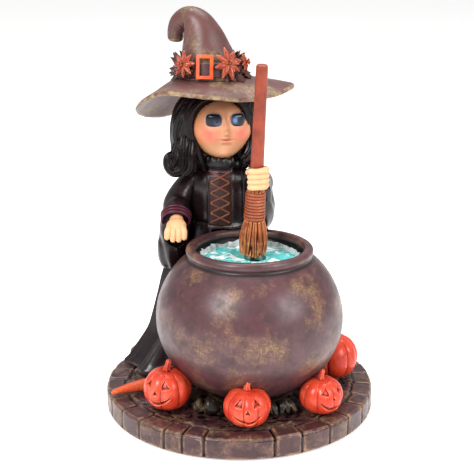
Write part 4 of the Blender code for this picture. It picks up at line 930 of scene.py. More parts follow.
def limb(name, path, radii, around=20, steps=40, ridges=0, depth=0.0, twist=0.0, flat=1.0, up=(0, 0, 1)):
    """A tapering round piece along a smooth path, closed round at both ends, with ridges if asked."""
    shares = np.linspace(0, 1, steps + 1)
    centres = run_through(path, shares)
    sizes = run_through(np.array(radii)[:, None], np.linspace(0, 1, steps + 1))[:, 0]
    along = np.gradient(centres, axis=0)
    along /= np.linalg.norm(along, axis=1)[:, None]
    gone = np.concatenate([[0], np.cumsum(np.linalg.norm(np.diff(centres, axis=0), axis=1))])
    to_end = np.minimum(gone, gone[-1] - gone)
    sizes = sizes * np.sqrt(np.clip(1 - (1 - np.clip(to_end / np.maximum(sizes, 1e-6), 0, 1)) ** 2, 0, 1))
    turns = np.arange(around) * 2 * math.pi / around
    side = np.cross(up, along[0])
    side /= np.linalg.norm(side)
    rings = np.empty((steps + 1, around, 3))
    for i in range(steps + 1):
        side = side - along[i] * side.dot(along[i])
        side /= np.linalg.norm(side)
        over = np.cross(along[i], side)
        size = sizes[i] * (1 + depth * np.cos(turns * ridges + twist * shares[i]))
        rings[i] = centres[i] + (size * np.cos(turns))[:, None] * side + (
            size * np.sin(turns) * flat
        )[:, None] * over

    def shape(turn, share):
        return tuple(
            rings[
                np.rint(share * steps).astype(int),
                np.rint(turn / (2 * math.pi) * around).astype(int) % around,
            ].T
        )

    return wrapped(name, around, steps, shape)


def joined(name, pieces):
    """Several pieces of one casting as one object."""
    deselect()
    for piece in pieces:
        piece.select_set(True)
    bpy.context.view_layer.objects.active = pieces[0]
    bpy.ops.object.join()
    pieces[0].name = name
    return pieces[0]


def finish_with(piece, kind, **settings):
    """Adds a modifier and applies it."""
    deselect()
    piece.select_set(True)
    bpy.context.view_layer.objects.active = piece
    modifier = piece.modifiers.new(kind.lower(), kind)
    for key, value in settings.items():
        setattr(modifier, key, value)
    bpy.ops.object.modifier_apply(modifier=modifier.name)
    return piece


def melted(name, pieces, voxel, rounds):
    """Overlapping pieces run together as in one casting, with the joins eased."""
    piece = finish_with(joined(name, pieces), "REMESH", mode="VOXEL", voxel_size=voxel)
    return finish_with(piece, "SMOOTH", factor=0.5, iterations=rounds)


LACE_ROWS = 5
laces = []
for row in range(LACE_ROWS):
    low, high = 0.1108 + 0.0063 * row, 0.1108 + 0.0063 * (row + 1)
    for start, end in (
        (LAPEL_LEFT + 0.0008, LAPEL_RIGHT - 0.0008),
        (LAPEL_RIGHT - 0.0008, LAPEL_LEFT + 0.0008),
    ):
        xs, zs = np.linspace(start, end, 7), np.linspace(low, high, 7)
        laces.append(
            limb(
                f"lace_{len(laces) + 1}",
                np.stack([xs, chest_front(xs, zs, 0.00062), zs], axis=1),
                [0.00058] * 3,
                8,
                14,
            )
        )
lace_resin = stained_resin(
    "tan_lace_paint", "#6b3a26", "#2a110a", "#8f6340", patches=0.4, gloss=0.4, grain=0.00005
)
fix(joined("bodice_laces", laces), lace_resin, "figure", "resin_robe")


COLLAR_MIDDLE = (-0.0105, 0.026, 0.1479)
COLLAR_RADIUS, COLLAR_HALF_THICKNESS = 0.0098, 0.0023


def collar_skin(turn, share):
    # A plaited band: two rows of plump crossings round the neck.
    around = share * 2 * math.pi
    plait = 0.00045 * np.cos(turn * 15 + np.sign(np.round(np.sin(around), 6)) * 1.2) * np.abs(
        np.sin(around * 0.5 + 0.4)
    )
    small = COLLAR_HALF_THICKNESS + plait * 0.9
    radius = COLLAR_RADIUS + small * np.cos(around) * 0.8
    height = COLLAR_MIDDLE[2] + small * np.sin(around) * 1.45
    return COLLAR_MIDDLE[0] + radius * np.cos(turn), COLLAR_MIDDLE[1] + radius * np.sin(turn), height


collar = wrapped("plaited_collar", 300, 36, collar_skin)
black_braid = stained_resin(
    "black_braid_resin", "#120b0d", "#050303", "#6a5a5e", patches=0.1, gloss=0.34, grain=0.00005
)
fix(collar, black_braid, "figure", "resin_robe", "collar", passes=6, depth=0.0002)

# ---- Sleeves ----
# Wide bell sleeves cast with the arms: one hangs open below the resting hand, the other behind the pot's rim.
# The resting cuff has three raised bands picked out in wine red.

def ball(name, centre, radii, turn=(0, 0, 0), segments=28):
    """A round lump of a casting, stretched to its radii and turned in place."""
    deselect()
    bpy.ops.mesh.primitive_uv_sphere_add(
        segments=segments, ring_count=segments // 2, radius=1, location=centre, rotation=turn, scale=radii
    )
    piece = bpy.context.object
    piece.name = name
    bpy.ops.object.transform_apply(location=True, rotation=True, scale=True)
    return piece


resting_parts = [
    limb(
        "upper_arm",
        [
            (-0.0255, 0.029, 0.1390),
            (-0.0330, 0.0275, 0.1310),
            (-0.0385, 0.0215, 0.1220),
            (-0.0388, 0.0125, 0.1170),
            (-0.0387, 0.0065, 0.1140),
        ],
        [0.0055, 0.0072, 0.0082, 0.0080, 0.0078],
        32,
        50,
    ),
    limb(
        "bell",
        [
            (-0.0375, 0.0215, 0.1270),
            (-0.0392, 0.0175, 0.1130),
            (-0.0408, 0.0158, 0.0990),
            (-0.0424, 0.0165, 0.0880),
            (-0.0430, 0.0175, 0.0812),
        ],
        [0.0070, 0.0092, 0.0094, 0.0076, 0.0048],
        40,
        60,
        flat=1.55,
        up=(0, 1, 0),
    ),
]
resting_sleeve = melted("resting_sleeve_cast", resting_parts, 0.00048, 6)
finish_with(
    resting_sleeve,
    "BOOLEAN",
    operation="DIFFERENCE",
    solver="EXACT",
    object=(hollow := ball("cuff_hollow", (-0.0384, 0.0035, 0.1085), (0.0068, 0.0080, 0.0100))),
)
bpy.data.objects.remove(hollow)
shape_points = points_of(resting_sleeve)
folds = np.sin(shape_points[:, 0] * 900 + shape_points[:, 2] * 260 + 2.0 * lumps(shape_points, 0.010, 3))
below = np.clip((0.112 - shape_points[:, 2]) / 0.012, 0, 1)
shape_points[:, 0] += folds * 0.00045 * below
shape_points[:, 1] += folds * 0.00055 * below
move_to(resting_sleeve, clear_of_pot(shape_points))
fix(resting_sleeve, plum_resin, "figure", "resin_robe", "resting_sleeve", passes=16, depth=0.0005)

FOREARM = np.array([0.0, 0.86, 0.51])
cuff_bands = []
for band in range(3):
    middle = np.array([-0.0386, 0.0068, 0.1146]) + FOREARM * 0.0021 * band
    wide, tall = np.array([1.0, 0.0, 0.0]), np.array([0.0, -0.51, 0.86])
    arc = np.radians(np.linspace(-28, 208, 19))
    reach = 0.0083 + 0.0002 * band
    ring = [middle + (wide * math.cos(a) + tall * math.sin(a)) * reach for a in arc]
    cuff_bands.append(limb(f"cuff_band_{band + 1}", ring, [0.00085] * 3, 12, 60))
wine_resin = stained_resin(
    "wine_band_paint",
    "#4c1024",
    "#16060c",
    "#80384c",
    patches=0.3,
    gloss=0.34,
    other="#45182a",
    grain=0.00005,
)
cuff = joined("cuff_bands", cuff_bands)
move_to(cuff, clear_of_pot(points_of(cuff)))
fix(cuff, wine_resin, "figure", "resin_robe")

stirring_parts = [
    limb(
        "raised_arm",
        [
            (0.0010, 0.030, 0.1335),
            (0.0085, 0.027, 0.1320),
            (0.0132, 0.018, 0.1350),
            (0.0128, 0.0095, 0.1400),
            (0.0117, 0.0035, 0.1432),
        ],
        [0.0080, 0.0078, 0.0070, 0.0063, 0.0060],
        32,
        50,
    ),
    limb(
        "raised_bell",
        [
            (0.0117, 0.0240, 0.1370),
            (0.0138, 0.0230, 0.1260),
            (0.0142, 0.0235, 0.1150),
            (0.0138, 0.0260, 0.1060),
        ],
        [0.0062, 0.0074, 0.0072, 0.0040],
        36,
        50,
        flat=2.0,
        up=(0, 1, 0),
    ),
    limb(
        "raised_drop",
        [(0.0128, 0.0085, 0.1390), (0.0136, 0.0130, 0.1300), (0.0140, 0.0200, 0.1200)],
        [0.0056, 0.0062, 0.0060],
        28,
        30,
    ),
]
stirring_sleeve = melted("stirring_sleeve_cast", stirring_parts, 0.0005, 8)
shape_points = points_of(stirring_sleeve)
shape_points[:, 0] += 0.0004 * np.sin(
    shape_points[:, 1] * 700 + shape_points[:, 2] * 300 + 2 * lumps(shape_points, 0.012, 4)
)
move_to(stirring_sleeve, clear_of_pot(shape_points))
fix(stirring_sleeve, plum_resin, "figure", "resin_robe", "stirring_sleeve", passes=16, depth=0.0005)

# ---- Hands ----
# Small doll's hands cast solid and painted matt peach, with a brown wash between the fingers.
# The resting hand lies over the pot's shoulder, and the fist closes round the broom on its bush.

hand_parts = [
    ball("hand_back", (-0.0379, 0.0000, 0.1130), (0.0061, 0.0062, 0.0046), (0.35, 0, 0)),
    limb(
        "wrist",
        [(-0.0382, 0.0100, 0.1165), (-0.0380, 0.0040, 0.1145), (-0.0378, 0.0010, 0.1130)],
        [0.0044, 0.0042, 0.0040],
        20,
        20,
    ),
]
for finger, (x, low, lean) in enumerate(
    (
        (-0.0424, 0.1062, -0.0009),
        (-0.0394, 0.1046, -0.0003),
        (-0.0364, 0.1046, 0.0002),
        (-0.0335, 0.1060, 0.0006),
    )
):
    hand_parts.append(
        limb(
            f"finger_{finger + 1}",
            [
                (x * 0.35 - 0.0378 * 0.65, -0.0006, 0.1145),
                (x, -0.0044, 0.1120),
                (x + lean * 0.7, -0.0058, 0.1085),
                (x + lean, -0.0056, low),
            ],
            [0.0021, 0.0021, 0.0019, 0.0016],
            16,
            26,
        )
    )
hand = melted("resting_hand_cast", hand_parts, 0.00026, 2)
move_to(hand, clear_of_pot(points_of(hand), 0.0002))
peach_skin = stained_resin(
    "peach_painted_resin",
    "#e6b084",
    "#a8683f",
    "#f2cba4",
    patches=0.3,
    gloss=0.5,
    other="#e0a878",
    patch_size=0.010,
    grain=0.00004,
)
fix(hand, peach_skin, "figure", "resin_skin", "resting_hand", passes=14, depth=0.00028)

fist_parts = [
    ball("palm", (0.0136, -0.0066, 0.1459), (0.0036, 0.0052, 0.0056)),
    ball("palm_heel", (0.0112, -0.0042, 0.1450), (0.0050, 0.0040, 0.0054)),
    limb(
        "fist_wrist",
        [(0.0112, 0.0032, 0.1430), (0.0114, -0.0010, 0.1443), (0.0118, -0.0050, 0.1453)],
        [0.0045, 0.0044, 0.0042],
        20,
        20,
    ),
    limb(
        "thumb",
        [
            (0.0118, -0.0040, 0.1480),
            (0.0085, -0.0030, 0.1484),
            (0.0055, -0.0050, 0.1478),
            (0.0048, -0.0078, 0.1472),
        ],
        [0.0022, 0.0020, 0.0018, 0.0015],
        16,
        30,
    ),
]
for finger, rise in enumerate((0.0047, 0.0015, -0.0016, -0.0046)):
    # Each finger runs from its knuckle at the right round to a rounded tip in front at the left.
    tuck, short = (0.0, 0.0002, 0.0, -0.0006)[finger], (0.0004, 0.0, 0.0001, 0.0007)[finger]
    z = 0.1460 + rise
    fist_parts.append(
        limb(
            f"fist_finger_{finger + 1}",
            [
                (0.0148, -0.0072, z),
                (0.0156 - 0.3 * short, -0.0114, z),
                (0.0138, -0.0151 + tuck, z),
                (0.0102, -0.0163 + tuck, z - 0.0002),
                (0.0068, -0.0156 + tuck, z - 0.0004),
                (0.0047 + short, -0.0136, z - 0.0005),
            ],
            [0.0016, 0.00188, 0.00196, 0.00168, 0.00184, 0.00150], 18, 46,
        )
    )
fist = melted("stirring_fist_cast", fist_parts, 0.00026, 2)
bore_rows = stations(
    (0, -0.010, 2),
    (0.0047, -0.010, 4),
    (0.0047, -0.0049, 1),
    (0.0054, -0.0048, 6),
    (0.0054, 0.0048, 1),
    (0.0047, 0.0049, 4),
    (0.0047, 0.010, 2),
    (0, 0.010, 1),
)


def bore_shape(turn, share):
    row = share * (len(bore_rows) - 1)
    radius, rise = (np.interp(row, np.arange(len(bore_rows)), bore_rows[:, k]) for k in (0, 1))
    return PIVOT[0] + radius * np.cos(turn), PIVOT[1] + radius * np.sin(turn), PIVOT[2] + rise


bore = wrapped("fist_bore", 64, len(bore_rows) - 1, bore_shape)
finish_with(fist, "BOOLEAN", operation="DIFFERENCE", solver="EXACT", object=bore)
bpy.data.objects.remove(bore)
fix(fist, peach_skin, "figure", "resin_skin", "stirring_fist", passes=12, depth=0.00032)

# ---- Head ----
# A doll's head cast solid with its neck and one ear showing, painted matt peach with blushed cheeks.
# The eyes are domes painted navy and black and then lacquered, and nothing else on it shines.

HEAD = np.array([-0.0105, 0.0260, 0.1690])
FACE_TURN = math.radians(9)  # the head looks a little to its left


def brim_below(x, y):
    """The height of the hat's underside over a place, for whatever sits under it."""
    away_x, away_y = x - CROWN_X, y - CROWN_Y
    turn = np.arctan2(away_y, away_x)
    reach = round_values(BRIM_REACH, turn)
    share = np.clip((np.hypot(away_x, away_y) - CROWN_RADIUS) / (reach - CROWN_RADIUS), 0, 1)
    inside = np.clip(1 - np.hypot(away_x, away_y) / CROWN_RADIUS, 0, 1)
    return CROWN_FOOT + (
        round_values(BRIM_EDGE, turn) - CROWN_FOOT
    ) * share**1.25 - 0.0024 - 0.0036 * (1 - share) + 0 * inside


CROWN_X, CROWN_Y, CROWN_RADIUS, CROWN_FOOT = -0.0168, 0.0280, 0.0190, 0.1990
# The brim's edge every 45 degrees from the witch's left hand: how far out, and how high.
BRIM_REACH = (0.0495, 0.0460, 0.0440, 0.0455, 0.0460, 0.0405, 0.0375, 0.0380)
BRIM_EDGE = (0.1945, 0.1890, 0.1790, 0.1705, 0.1800, 0.1940, 0.1930, 0.1908)


def round_values(values, turn):
    """A value that runs smoothly through eight given ones, spaced evenly round a turn."""
    values = np.array(values)
    at = (np.asarray(turn) % (2 * math.pi)) / (2 * math.pi) * len(values)
    low = np.floor(at).astype(int)
    t = at - low
    a, b, c, d = (values[(low + i) % len(values)] for i in (-1, 0, 1, 2))
    return 0.5 * (2 * b + (c - a) * t + (2 * a - 5 * b + 4 * c - d) * t**2 + (3 * b - a - 3 * c + d) * t**3)


def face_frame(points):
    """Across, up and forward of the face, from the head's middle."""
    from_head = points - HEAD
    c, s = math.cos(FACE_TURN), math.sin(FACE_TURN)
    across = from_head[:, 0] * c + from_head[:, 1] * s
    forward = from_head[:, 0] * s - from_head[:, 1] * c
    return across, from_head[:, 2], forward


def from_face(across, up, forward):
    c, s = math.cos(FACE_TURN), math.sin(FACE_TURN)
    return (HEAD[0] + across * c + forward * s, HEAD[1] + across * s - forward * c, HEAD[2] + up)


def spot(across, up, at_across, at_up, wide, tall):
    return np.exp(-(((across - at_across) / wide) ** 2) - ((up - at_up) / tall) ** 2)


EYE_ACROSS, EYE_UP = 0.0073, 0.0063
head = melted(
    "painted_head",
    [
        ball("skull", tuple(HEAD - (0.0006, 0, 0)), (0.0191, 0.0182, 0.0192), segments=64),
        limb(
            "neck",
            [(-0.0105, 0.0270, 0.1440), (-0.0105, 0.0268, 0.1500), (-0.0105, 0.0262, 0.1560)],
            [0.0072, 0.0068, 0.0072],
            32,
            20,
        ),
        ball("ear", (-0.0292, 0.0205, 0.1706), (0.0017, 0.0030, 0.0044), (0.25, 0.15, 0)),
    ],
    0.00034,
    3,
)
at = points_of(head)
across, up, forward = face_frame(at)
front = np.clip(forward / 0.006, 0, 1)
lower = np.clip(-up / 0.0192, 0, 1) * (up > -0.0215)
narrow = 1 - 0.12 * lower**1.8 * np.clip((forward + 0.004) / 0.01, 0, 1)
across = across * narrow
forward = forward + front * (
    0.0034 * spot(across, up, 0, -0.0156, 0.0068, 0.0040)
    + 0.0009 * (
        spot(across, up, -0.0088, -0.0035, 0.0046, 0.0042) + spot(across, up, 0.0088, -0.0035, 0.0046, 0.0042)
    )
    - 0.0015 * (
        spot(across, up, -EYE_ACROSS, EYE_UP, 0.0052, 0.0044)
        + spot(across, up, EYE_ACROSS, EYE_UP, 0.0046, 0.0036)
    )
    + 0.0006 * spot(across, up, 0, 0.0125, 0.0095, 0.0026)
    + 0.0010 * spot(across, up, 0, 0.0035, 0.0016, 0.0042)
    + 0.0026 * spot(across, up, 0, -0.0008, 0.0020, 0.0020)
    + 0.0005 * (
        spot(across, up, -0.0014, -0.0012, 0.0008, 0.0009) + spot(across, up, 0.0014, -0.0012, 0.0008, 0.0009)
    )
    + 0.0009 * spot(across, up, 0, -0.0040, 0.0030, 0.0009)
    + 0.0009 * spot(across, up, 0, -0.0066, 0.0026, 0.0010)
    - 0.0010 * spot(across, up, 0, -0.0053, 0.0034, 0.00045)
    - 0.0004 * spot(across, up, 0, -0.0088, 0.0024, 0.0009)
)
x, y, z = from_face(across, up, forward)
z = np.minimum(z, brim_below(x, y) - 0.0004)
move_to(head, np.stack([x, y, z], axis=1))
blush = front * (
    spot(across, up, -0.0098, -0.0028, 0.0052, 0.0044) + spot(across, up, 0.0092, -0.0024, 0.0052, 0.0044)
)
lips = front * spot(across, up, 0, -0.0056, 0.0026, 0.0013) * 0.55
# Painted shade: orange-brown round the eye sockets, beside the nose and on its bridge, down both edges of the
# face and under the chin.
face_shade = (
    spot(across, up, -EYE_ACROSS, EYE_UP, 0.0062, 0.0052)
    + spot(across, up, EYE_ACROSS, EYE_UP, 0.0060, 0.0050)
    + spot(across, up, 0.0012, -0.0032, 0.0014, 0.0012)
    + 0.9 * spot(across, up, 0.0004, 0.0050, 0.0022, 0.0046)
)
face_shade = (
    front * 0.75 * face_shade
    + 0.9 * np.clip((-across - 0.0105) / 0.006, 0, 1)
    + 0.9 * np.clip((-up - 0.0140) / 0.004, 0, 1)
    + 0.5 * np.clip((across - 0.0150) / 0.003, 0, 1)
)
for name, values in (("blush", np.clip(blush + lips, 0, 1)), ("painted_face_shade", np.clip(face_shade, 0, 1))):
    head.data.attributes.new(name, "FLOAT", "POINT").data.foreach_set("value", values.astype(np.float32))

face_paint, tree, shader = new_material("peach_face_paint", "#efc096", 0.42)
place = add_node(tree, "ShaderNodeTexCoord").outputs["Object"]
mottle = add_node(
    tree, "ShaderNodeTexNoise", {"Vector": place}, {"Scale": 1 / 0.006, "Detail": 5, "Roughness": 0.6}
)
tone = add_node(
    tree,
    "ShaderNodeMix",
    {"Factor": mottle.outputs["Fac"]},
    {6: linear("#d19c76"), 7: linear("#bd7f5a")},
    data_type="RGBA",
)
# The orange-brown painted shade goes on first, then the blush on the cheeks and lips.
for attribute, colour, most in (("painted_face_shade", "#a85f2c", 0.62), ("blush", "#cf4638", 0.74)):
    mask = add_node(tree, "ShaderNodeAttribute", attribute_name=attribute).outputs["Fac"]
    uneven = add_node(
        tree, "ShaderNodeMapRange", {0: mottle.outputs["Fac"]}, {1: 0.25, 2: 0.55, 3: most * 0.7, 4: most}
    )
    mask = add_node(tree, "ShaderNodeMath", {0: mask, 1: uneven.outputs[0]}, operation="MULTIPLY")
    tone = add_node(
        tree,
        "ShaderNodeMix",
        {"Factor": mask.outputs[0], 6: tone.outputs[2]},
        {7: linear(colour)},
        data_type="RGBA",
    )
relief = add_node(tree, "ShaderNodeAttribute", attribute_name="relief").outputs["Fac"]
wash = add_node(
    tree, "ShaderNodeMapRange", {0: relief}, {1: 0.38, 2: 0.05, 4: 0.8}, interpolation_type="SMOOTHSTEP"
)
tone = add_node(
    tree,
    "ShaderNodeMix",
    {"Factor": wash.outputs[0], 6: tone.outputs[2]},
    {7: linear("#8c4a2a")},
    data_type="RGBA",
)
tree.links.new(tone.outputs[2], shader.inputs["Base Color"])
bump = add_node(
    tree, "ShaderNodeBump", {"Height": mottle.outputs["Fac"]}, {"Strength": 0.3, "Distance": 0.0001}
)
tree.links.new(bump.outputs[0], shader.inputs["Normal"])
fix(head, face_paint, "figure", "resin_skin", "head", passes=14, depth=0.0005)

for side, word in ((-1, "right"), (1, "left")):
    eye = ball(f"eye_{word}", (0, 0, 0), (1, 1, 1), segments=56)
    at = points_of(eye)
    # A rounded block of an eye, wider than tall, a shallow dome in its socket.
    flat = np.sign(at) * np.abs(at) ** (0.62, 1.0, 0.62)
    across, up, forward = side * EYE_ACROSS + flat[:, 0] * (
        0.0047 if side < 0 else 0.0043
    ), EYE_UP + flat[:, 2] * 0.0040, 0.0147 - flat[:, 1] * 0.0023
    forward = forward - 0.30 * (np.abs(across) - EYE_ACROSS)
    move_to(eye, np.stack(from_face(across, up, forward), axis=1))
    pupil = np.exp(
        -(
            (
                np.hypot(
                    across - side * EYE_ACROSS - (0.0019 if side < 0 else 0.0006),
                    (up - EYE_UP + 0.0002) * 0.8,
                ) / 0.0014
            ) ** 4
        )
    )
    gleam = spot(
        across,
        up,
        side * EYE_ACROSS + (0.0024 if side < 0 else -0.0019),
        EYE_UP + (-0.0014 if side < 0 else 0.0002),
        0.0016,
        0.0018,
    ) * (0.5 if side < 0 else 1)
    rim = np.clip((np.hypot(at[:, 0], at[:, 2]) - 0.93) / 0.05, 0, 1)
    for name, values in (("pupil", pupil), ("gleam", gleam), ("rim", rim)):
        eye.data.attributes.new(name, "FLOAT", "POINT").data.foreach_set("value", values.astype(np.float32))
    if side < 0:
        eye_lacquer, tree, shader = new_material(
            "lacquered_eye_paint", "#0b152c", 0.22, Specular_IOR_Level=0.35
        )
        tone = None
        for attribute, colour, most in (
            ("rim", "#8d97a6", 0.95),
            ("gleam", "#7fa6dc", 0.70),
            ("pupil", "#030407", 1.0),
        ):
            mask = add_node(tree, "ShaderNodeAttribute", attribute_name=attribute).outputs["Fac"]
            mask = add_node(tree, "ShaderNodeMath", {0: mask}, {1: most}, operation="MULTIPLY")
            links = {"Factor": mask.outputs[0], 6: tone} if tone else {"Factor": mask.outputs[0]}
            tone = add_node(
                tree, "ShaderNodeMix", links, {6: linear("#080f1f"), 7: linear(colour)}, data_type="RGBA"
            ).outputs[2]
        tree.links.new(tone, shader.inputs["Base Color"])
    fix(eye, eye_lacquer, "figure", "resin_skin")

# ---- Hair ----
# Long locks cast in one with a cap under the hat, painted satin black with plum on the high strands.
# On the witch's right it ends in a big open curl over the shoulder, on her left in a short tuft.

# Height, middle in X and Y, half width, half depth of the bell that the locks lie on.
HAIR_RINGS = np.array([
    (0.1405, -0.0155, 0.0345, 0.0190, 0.0105), (0.1470, -0.0153, 0.0338, 0.0236, 0.0138),
    (0.1577, -0.0145, 0.0330, 0.0250, 0.0155), (0.1677, -0.0140, 0.0320, 0.0252, 0.0168),
    (0.1777, -0.0132, 0.0310, 0.0238, 0.0174), (0.1857, -0.0120, 0.0295, 0.0195, 0.0160),
    (0.1917, -0.0110, 0.0285, 0.0110, 0.0100),
])


def hair_bell(turn, share):
    height, x, y, half_width, half_depth = run_through(HAIR_RINGS, np.clip((share - 0.04) / 0.92, 0, 1)).T
    close = np.clip(share / 0.04, 0, 1) * np.clip((1 - share) / 0.04, 0, 1)
    return x + half_width * close * np.cos(turn), y + half_depth * close * np.sin(turn), height


hair_parts = [wrapped("hair_cap", 120, 60, hair_bell)]
lock_rng = np.random.default_rng(21)
for number, degrees in enumerate(np.arange(-62, 246, 9.0)):
    # Each lock runs down the bell from under the hat, swaying on its way.
    turn = math.radians(degrees + lock_rng.uniform(-2, 2))
    sway = lock_rng.uniform(0.6, 1.4)
    path, sizes = [], []
    for share in np.linspace(0.93, 0.06, 8):
        height, x, y, half_width, half_depth = run_through(HAIR_RINGS, np.array([share]))[0]
        bend = turn + 0.10 * sway * math.sin(share * 9 + number * 1.7) + 0.10 * (1 - share)
        path.append(
            (x + (half_width + 0.0002) * math.cos(bend), y + (half_depth + 0.0002) * math.sin(bend), height)
        )
        sizes.append(0.0020 + 0.0013 * math.sin(math.pi * min(1, (1 - share) * 1.15)))
    hair_parts.append(limb(f"lock_{number + 1}", path, sizes, 42, 60, ridges=9, depth=0.10, twist=1.5 * sway))
hair = melted("cast_hair", hair_parts, 0.00036, 1)
face_opening = limb(
    "face_opening",
    [
        (-0.0100, 0.0240, 0.1690),
        (-0.0098, 0.0160, 0.1690),
        (-0.0095, 0.0000, 0.1690),
        (-0.0090, -0.0200, 0.1690),
    ], [0.0060, 0.0160, 0.0176, 0.0180], 64, 40,
)
stretch = points_of(face_opening)
stretch[:, 2] = 0.1690 + (stretch[:, 2] - 0.1690) * 1.28
stretch[:, 0] = -0.0105 + (stretch[:, 0] + 0.0105) * np.where(stretch[:, 0] > -0.0105, 1.0, 1.30)
move_to(face_opening, stretch)
for cutter in (
    face_opening,
    ball("head_room", tuple(HEAD - (0.0006, 0, 0)), (0.0195, 0.0186, 0.0196), segments=48),
    ball("neck_room", (-0.0105, 0.0250, 0.1490), (0.0118, 0.0125, 0.0075), segments=32),
):
    finish_with(hair, "BOOLEAN", operation="DIFFERENCE", solver="EXACT", object=cutter)
    bpy.data.objects.remove(cutter)
hair = melted("cast_hair", [hair], 0.00044, 1)
at = points_of(hair)
at[:, 2] = np.minimum(at[:, 2], brim_below(at[:, 0], at[:, 1]) - 0.0003)
move_to(hair, at)
hair_paint = stained_resin(
    "black_plum_hair_paint",
    "#0e0506",
    "#020101",
    "#3c2026",
    patches=0.20,
    gloss=0.25,
    other="#0e0607",
    patch_size=0.012,
    grain=0.00003,
    edges=0.60,
    shine=0.16,
)
fix(hair, hair_paint, "figure", "resin_hair", "hair", passes=8, depth=0.00024)

curls = [
    limb(
        "curl_outer",
        [
            (-0.0290, 0.0290, 0.1720),
            (-0.0322, 0.0215, 0.1650),
            (-0.0335, 0.0180, 0.1570),
            (-0.0335, 0.0162, 0.1490),
            (-0.0352, 0.0155, 0.1447),
            (-0.0395, 0.0155, 0.1432),
            (-0.0428, 0.0160, 0.1462),
            (-0.0432, 0.0168, 0.1512),
            (-0.0405, 0.0175, 0.1545),
        ],
        [0.0014, 0.0030, 0.0037, 0.0039, 0.0037, 0.0034, 0.0030, 0.0025, 0.0014],
        48,
        120,
        ridges=9,
        depth=0.10,
        twist=3.5,
    ),
    limb(
        "curl_inner",
        [
            (-0.0315, 0.0280, 0.1680),
            (-0.0350, 0.0210, 0.1610),
            (-0.0372, 0.0175, 0.1548),
            (-0.0386, 0.0158, 0.1506),
            (-0.0402, 0.0150, 0.1478),
            (-0.0418, 0.0152, 0.1462),
        ],
        [0.0012, 0.0025, 0.0026, 0.0023, 0.0018, 0.0011],
        36,
        90,
        ridges=7,
        depth=0.12,
        twist=4.0,
    ),
    limb(
        "curl_behind",
        [
            (-0.0350, 0.0270, 0.1620),
            (-0.0380, 0.0240, 0.1540),
            (-0.0402, 0.0215, 0.1480),
            (-0.0425, 0.0205, 0.1465),
            (-0.0428, 0.0195, 0.1500),
        ],
        [0.0034, 0.0036, 0.0034, 0.0028, 0.0016],
        36,
        80,
        ridges=8,
        depth=0.11,
        twist=2.0,
    ),
    limb(
        "curl_front",
        [
            (-0.0275, 0.0260, 0.1700),
            (-0.0284, 0.0180, 0.1620),
            (-0.0290, 0.0142, 0.1540),
            (-0.0292, 0.0136, 0.1470),
            (-0.0312, 0.0136, 0.1430),
            (-0.0350, 0.0140, 0.1412),
        ],
        [0.0012, 0.0024, 0.0029, 0.0031, 0.0028, 0.0015],
        36,
        80,
        ridges=7,
        depth=0.11,
        twist=-2.5,
    ),
]
fix(
    melted("open_curl", curls, 0.00032, 1),
    hair_paint,
    "figure",
    "resin_hair",
    "hair_lock_right",
    passes=8,
    depth=0.00022,
)
tuft = [
    limb(
        "tuft_outer",
        [
            (0.0080, 0.0225, 0.1660),
            (0.0088, 0.0200, 0.1590),
            (0.0075, 0.0175, 0.1530),
            (0.0050, 0.0155, 0.1495),
            (0.0015, 0.0145, 0.1485),
        ],
        [0.0022, 0.0028, 0.0028, 0.0023, 0.0013],
        30,
        70,
        ridges=6,
        depth=0.14,
        twist=2.0,
    ),
    limb(
        "tuft_inner",
        [
            (0.0060, 0.0210, 0.1630),
            (0.0062, 0.0180, 0.1570),
            (0.0040, 0.0160, 0.1530),
            (0.0005, 0.0150, 0.1515),
        ],
        [0.0020, 0.0024, 0.0020, 0.0011],
        30,
        60,
        ridges=5,
        depth=0.14,
        twist=-2.0,
    ),
    limb(
        "tuft_low",
        [(0.0085, 0.0240, 0.1580), (0.0092, 0.0210, 0.1510), (0.0075, 0.0185, 0.1450)],
        [0.0026, 0.0032, 0.0022],
        30,
        50,
        ridges=6,
        depth=0.14,
    ),
]
fix(
    melted("short_tuft", tuft, 0.00032, 1),
    hair_paint,
    "figure",
    "resin_hair",
    "hair_lock_left",
    passes=10,
    depth=0.0004,
)

# ---- Hat ----
# Brim and crown in one polyresin casting: a brim that dips at the back and side, and a crown whose tip curls
# over. Stained mauve-brown, with ochre on the brim's edge and over the crown.

CROWN_SPINE = np.array([CROWN_X, CROWN_Y, CROWN_FOOT, CROWN_RADIUS]) + np.array([
    (0, 0, 0.0005, 0),
    (-0.0014, 0, 0.0070, -0.0015),
    (-0.0032, 0, 0.0150, -0.0038),
    (-0.0054, 0.0005, 0.0245, -0.0070),
    (-0.0090, 0.0020, 0.0314, -0.0098),
    (-0.0142, 0.0045, 0.0338, -0.0118),
    (-0.0188, 0.0065, 0.0313, -0.0132),
    (-0.0213, 0.0080, 0.0265, -0.0139),
    (-0.0219, 0.0085, 0.0213, -0.0144),
])
HAT_AROUND, BRIM_ROWS, CROWN_ROWS = 348, 46, 120
hat_turns = np.arange(HAT_AROUND) * 2 * math.pi / HAT_AROUND
hat_rings = [np.tile((CROWN_X, CROWN_Y, CROWN_FOOT - 0.0060), (HAT_AROUND, 1))]


def brim_ring(share, drop):
    # A share from 0 to 1 lies out along the brim, and one from -1 to 0 under the crown, towards its middle.
    brim, under_crown = max(share, 0.0), min(share, 0.0)
    reach = CROWN_RADIUS * (1 + under_crown) + (round_values(BRIM_REACH, hat_turns) - CROWN_RADIUS) * brim
    height = CROWN_FOOT + (round_values(BRIM_EDGE, hat_turns) - CROWN_FOOT) * brim**1.25 - drop
    ring = np.stack(
        [CROWN_X + reach * np.cos(hat_turns), CROWN_Y + reach * np.sin(hat_turns), height], axis=1
    )
    ring[:, 2] += lumps(ring * [1, 1, 0], 0.012, 3) * 0.00045 * brim + lumps(
        ring * [1, 1, 0], 0.004, 5
    ) * 0.00010
    return ring


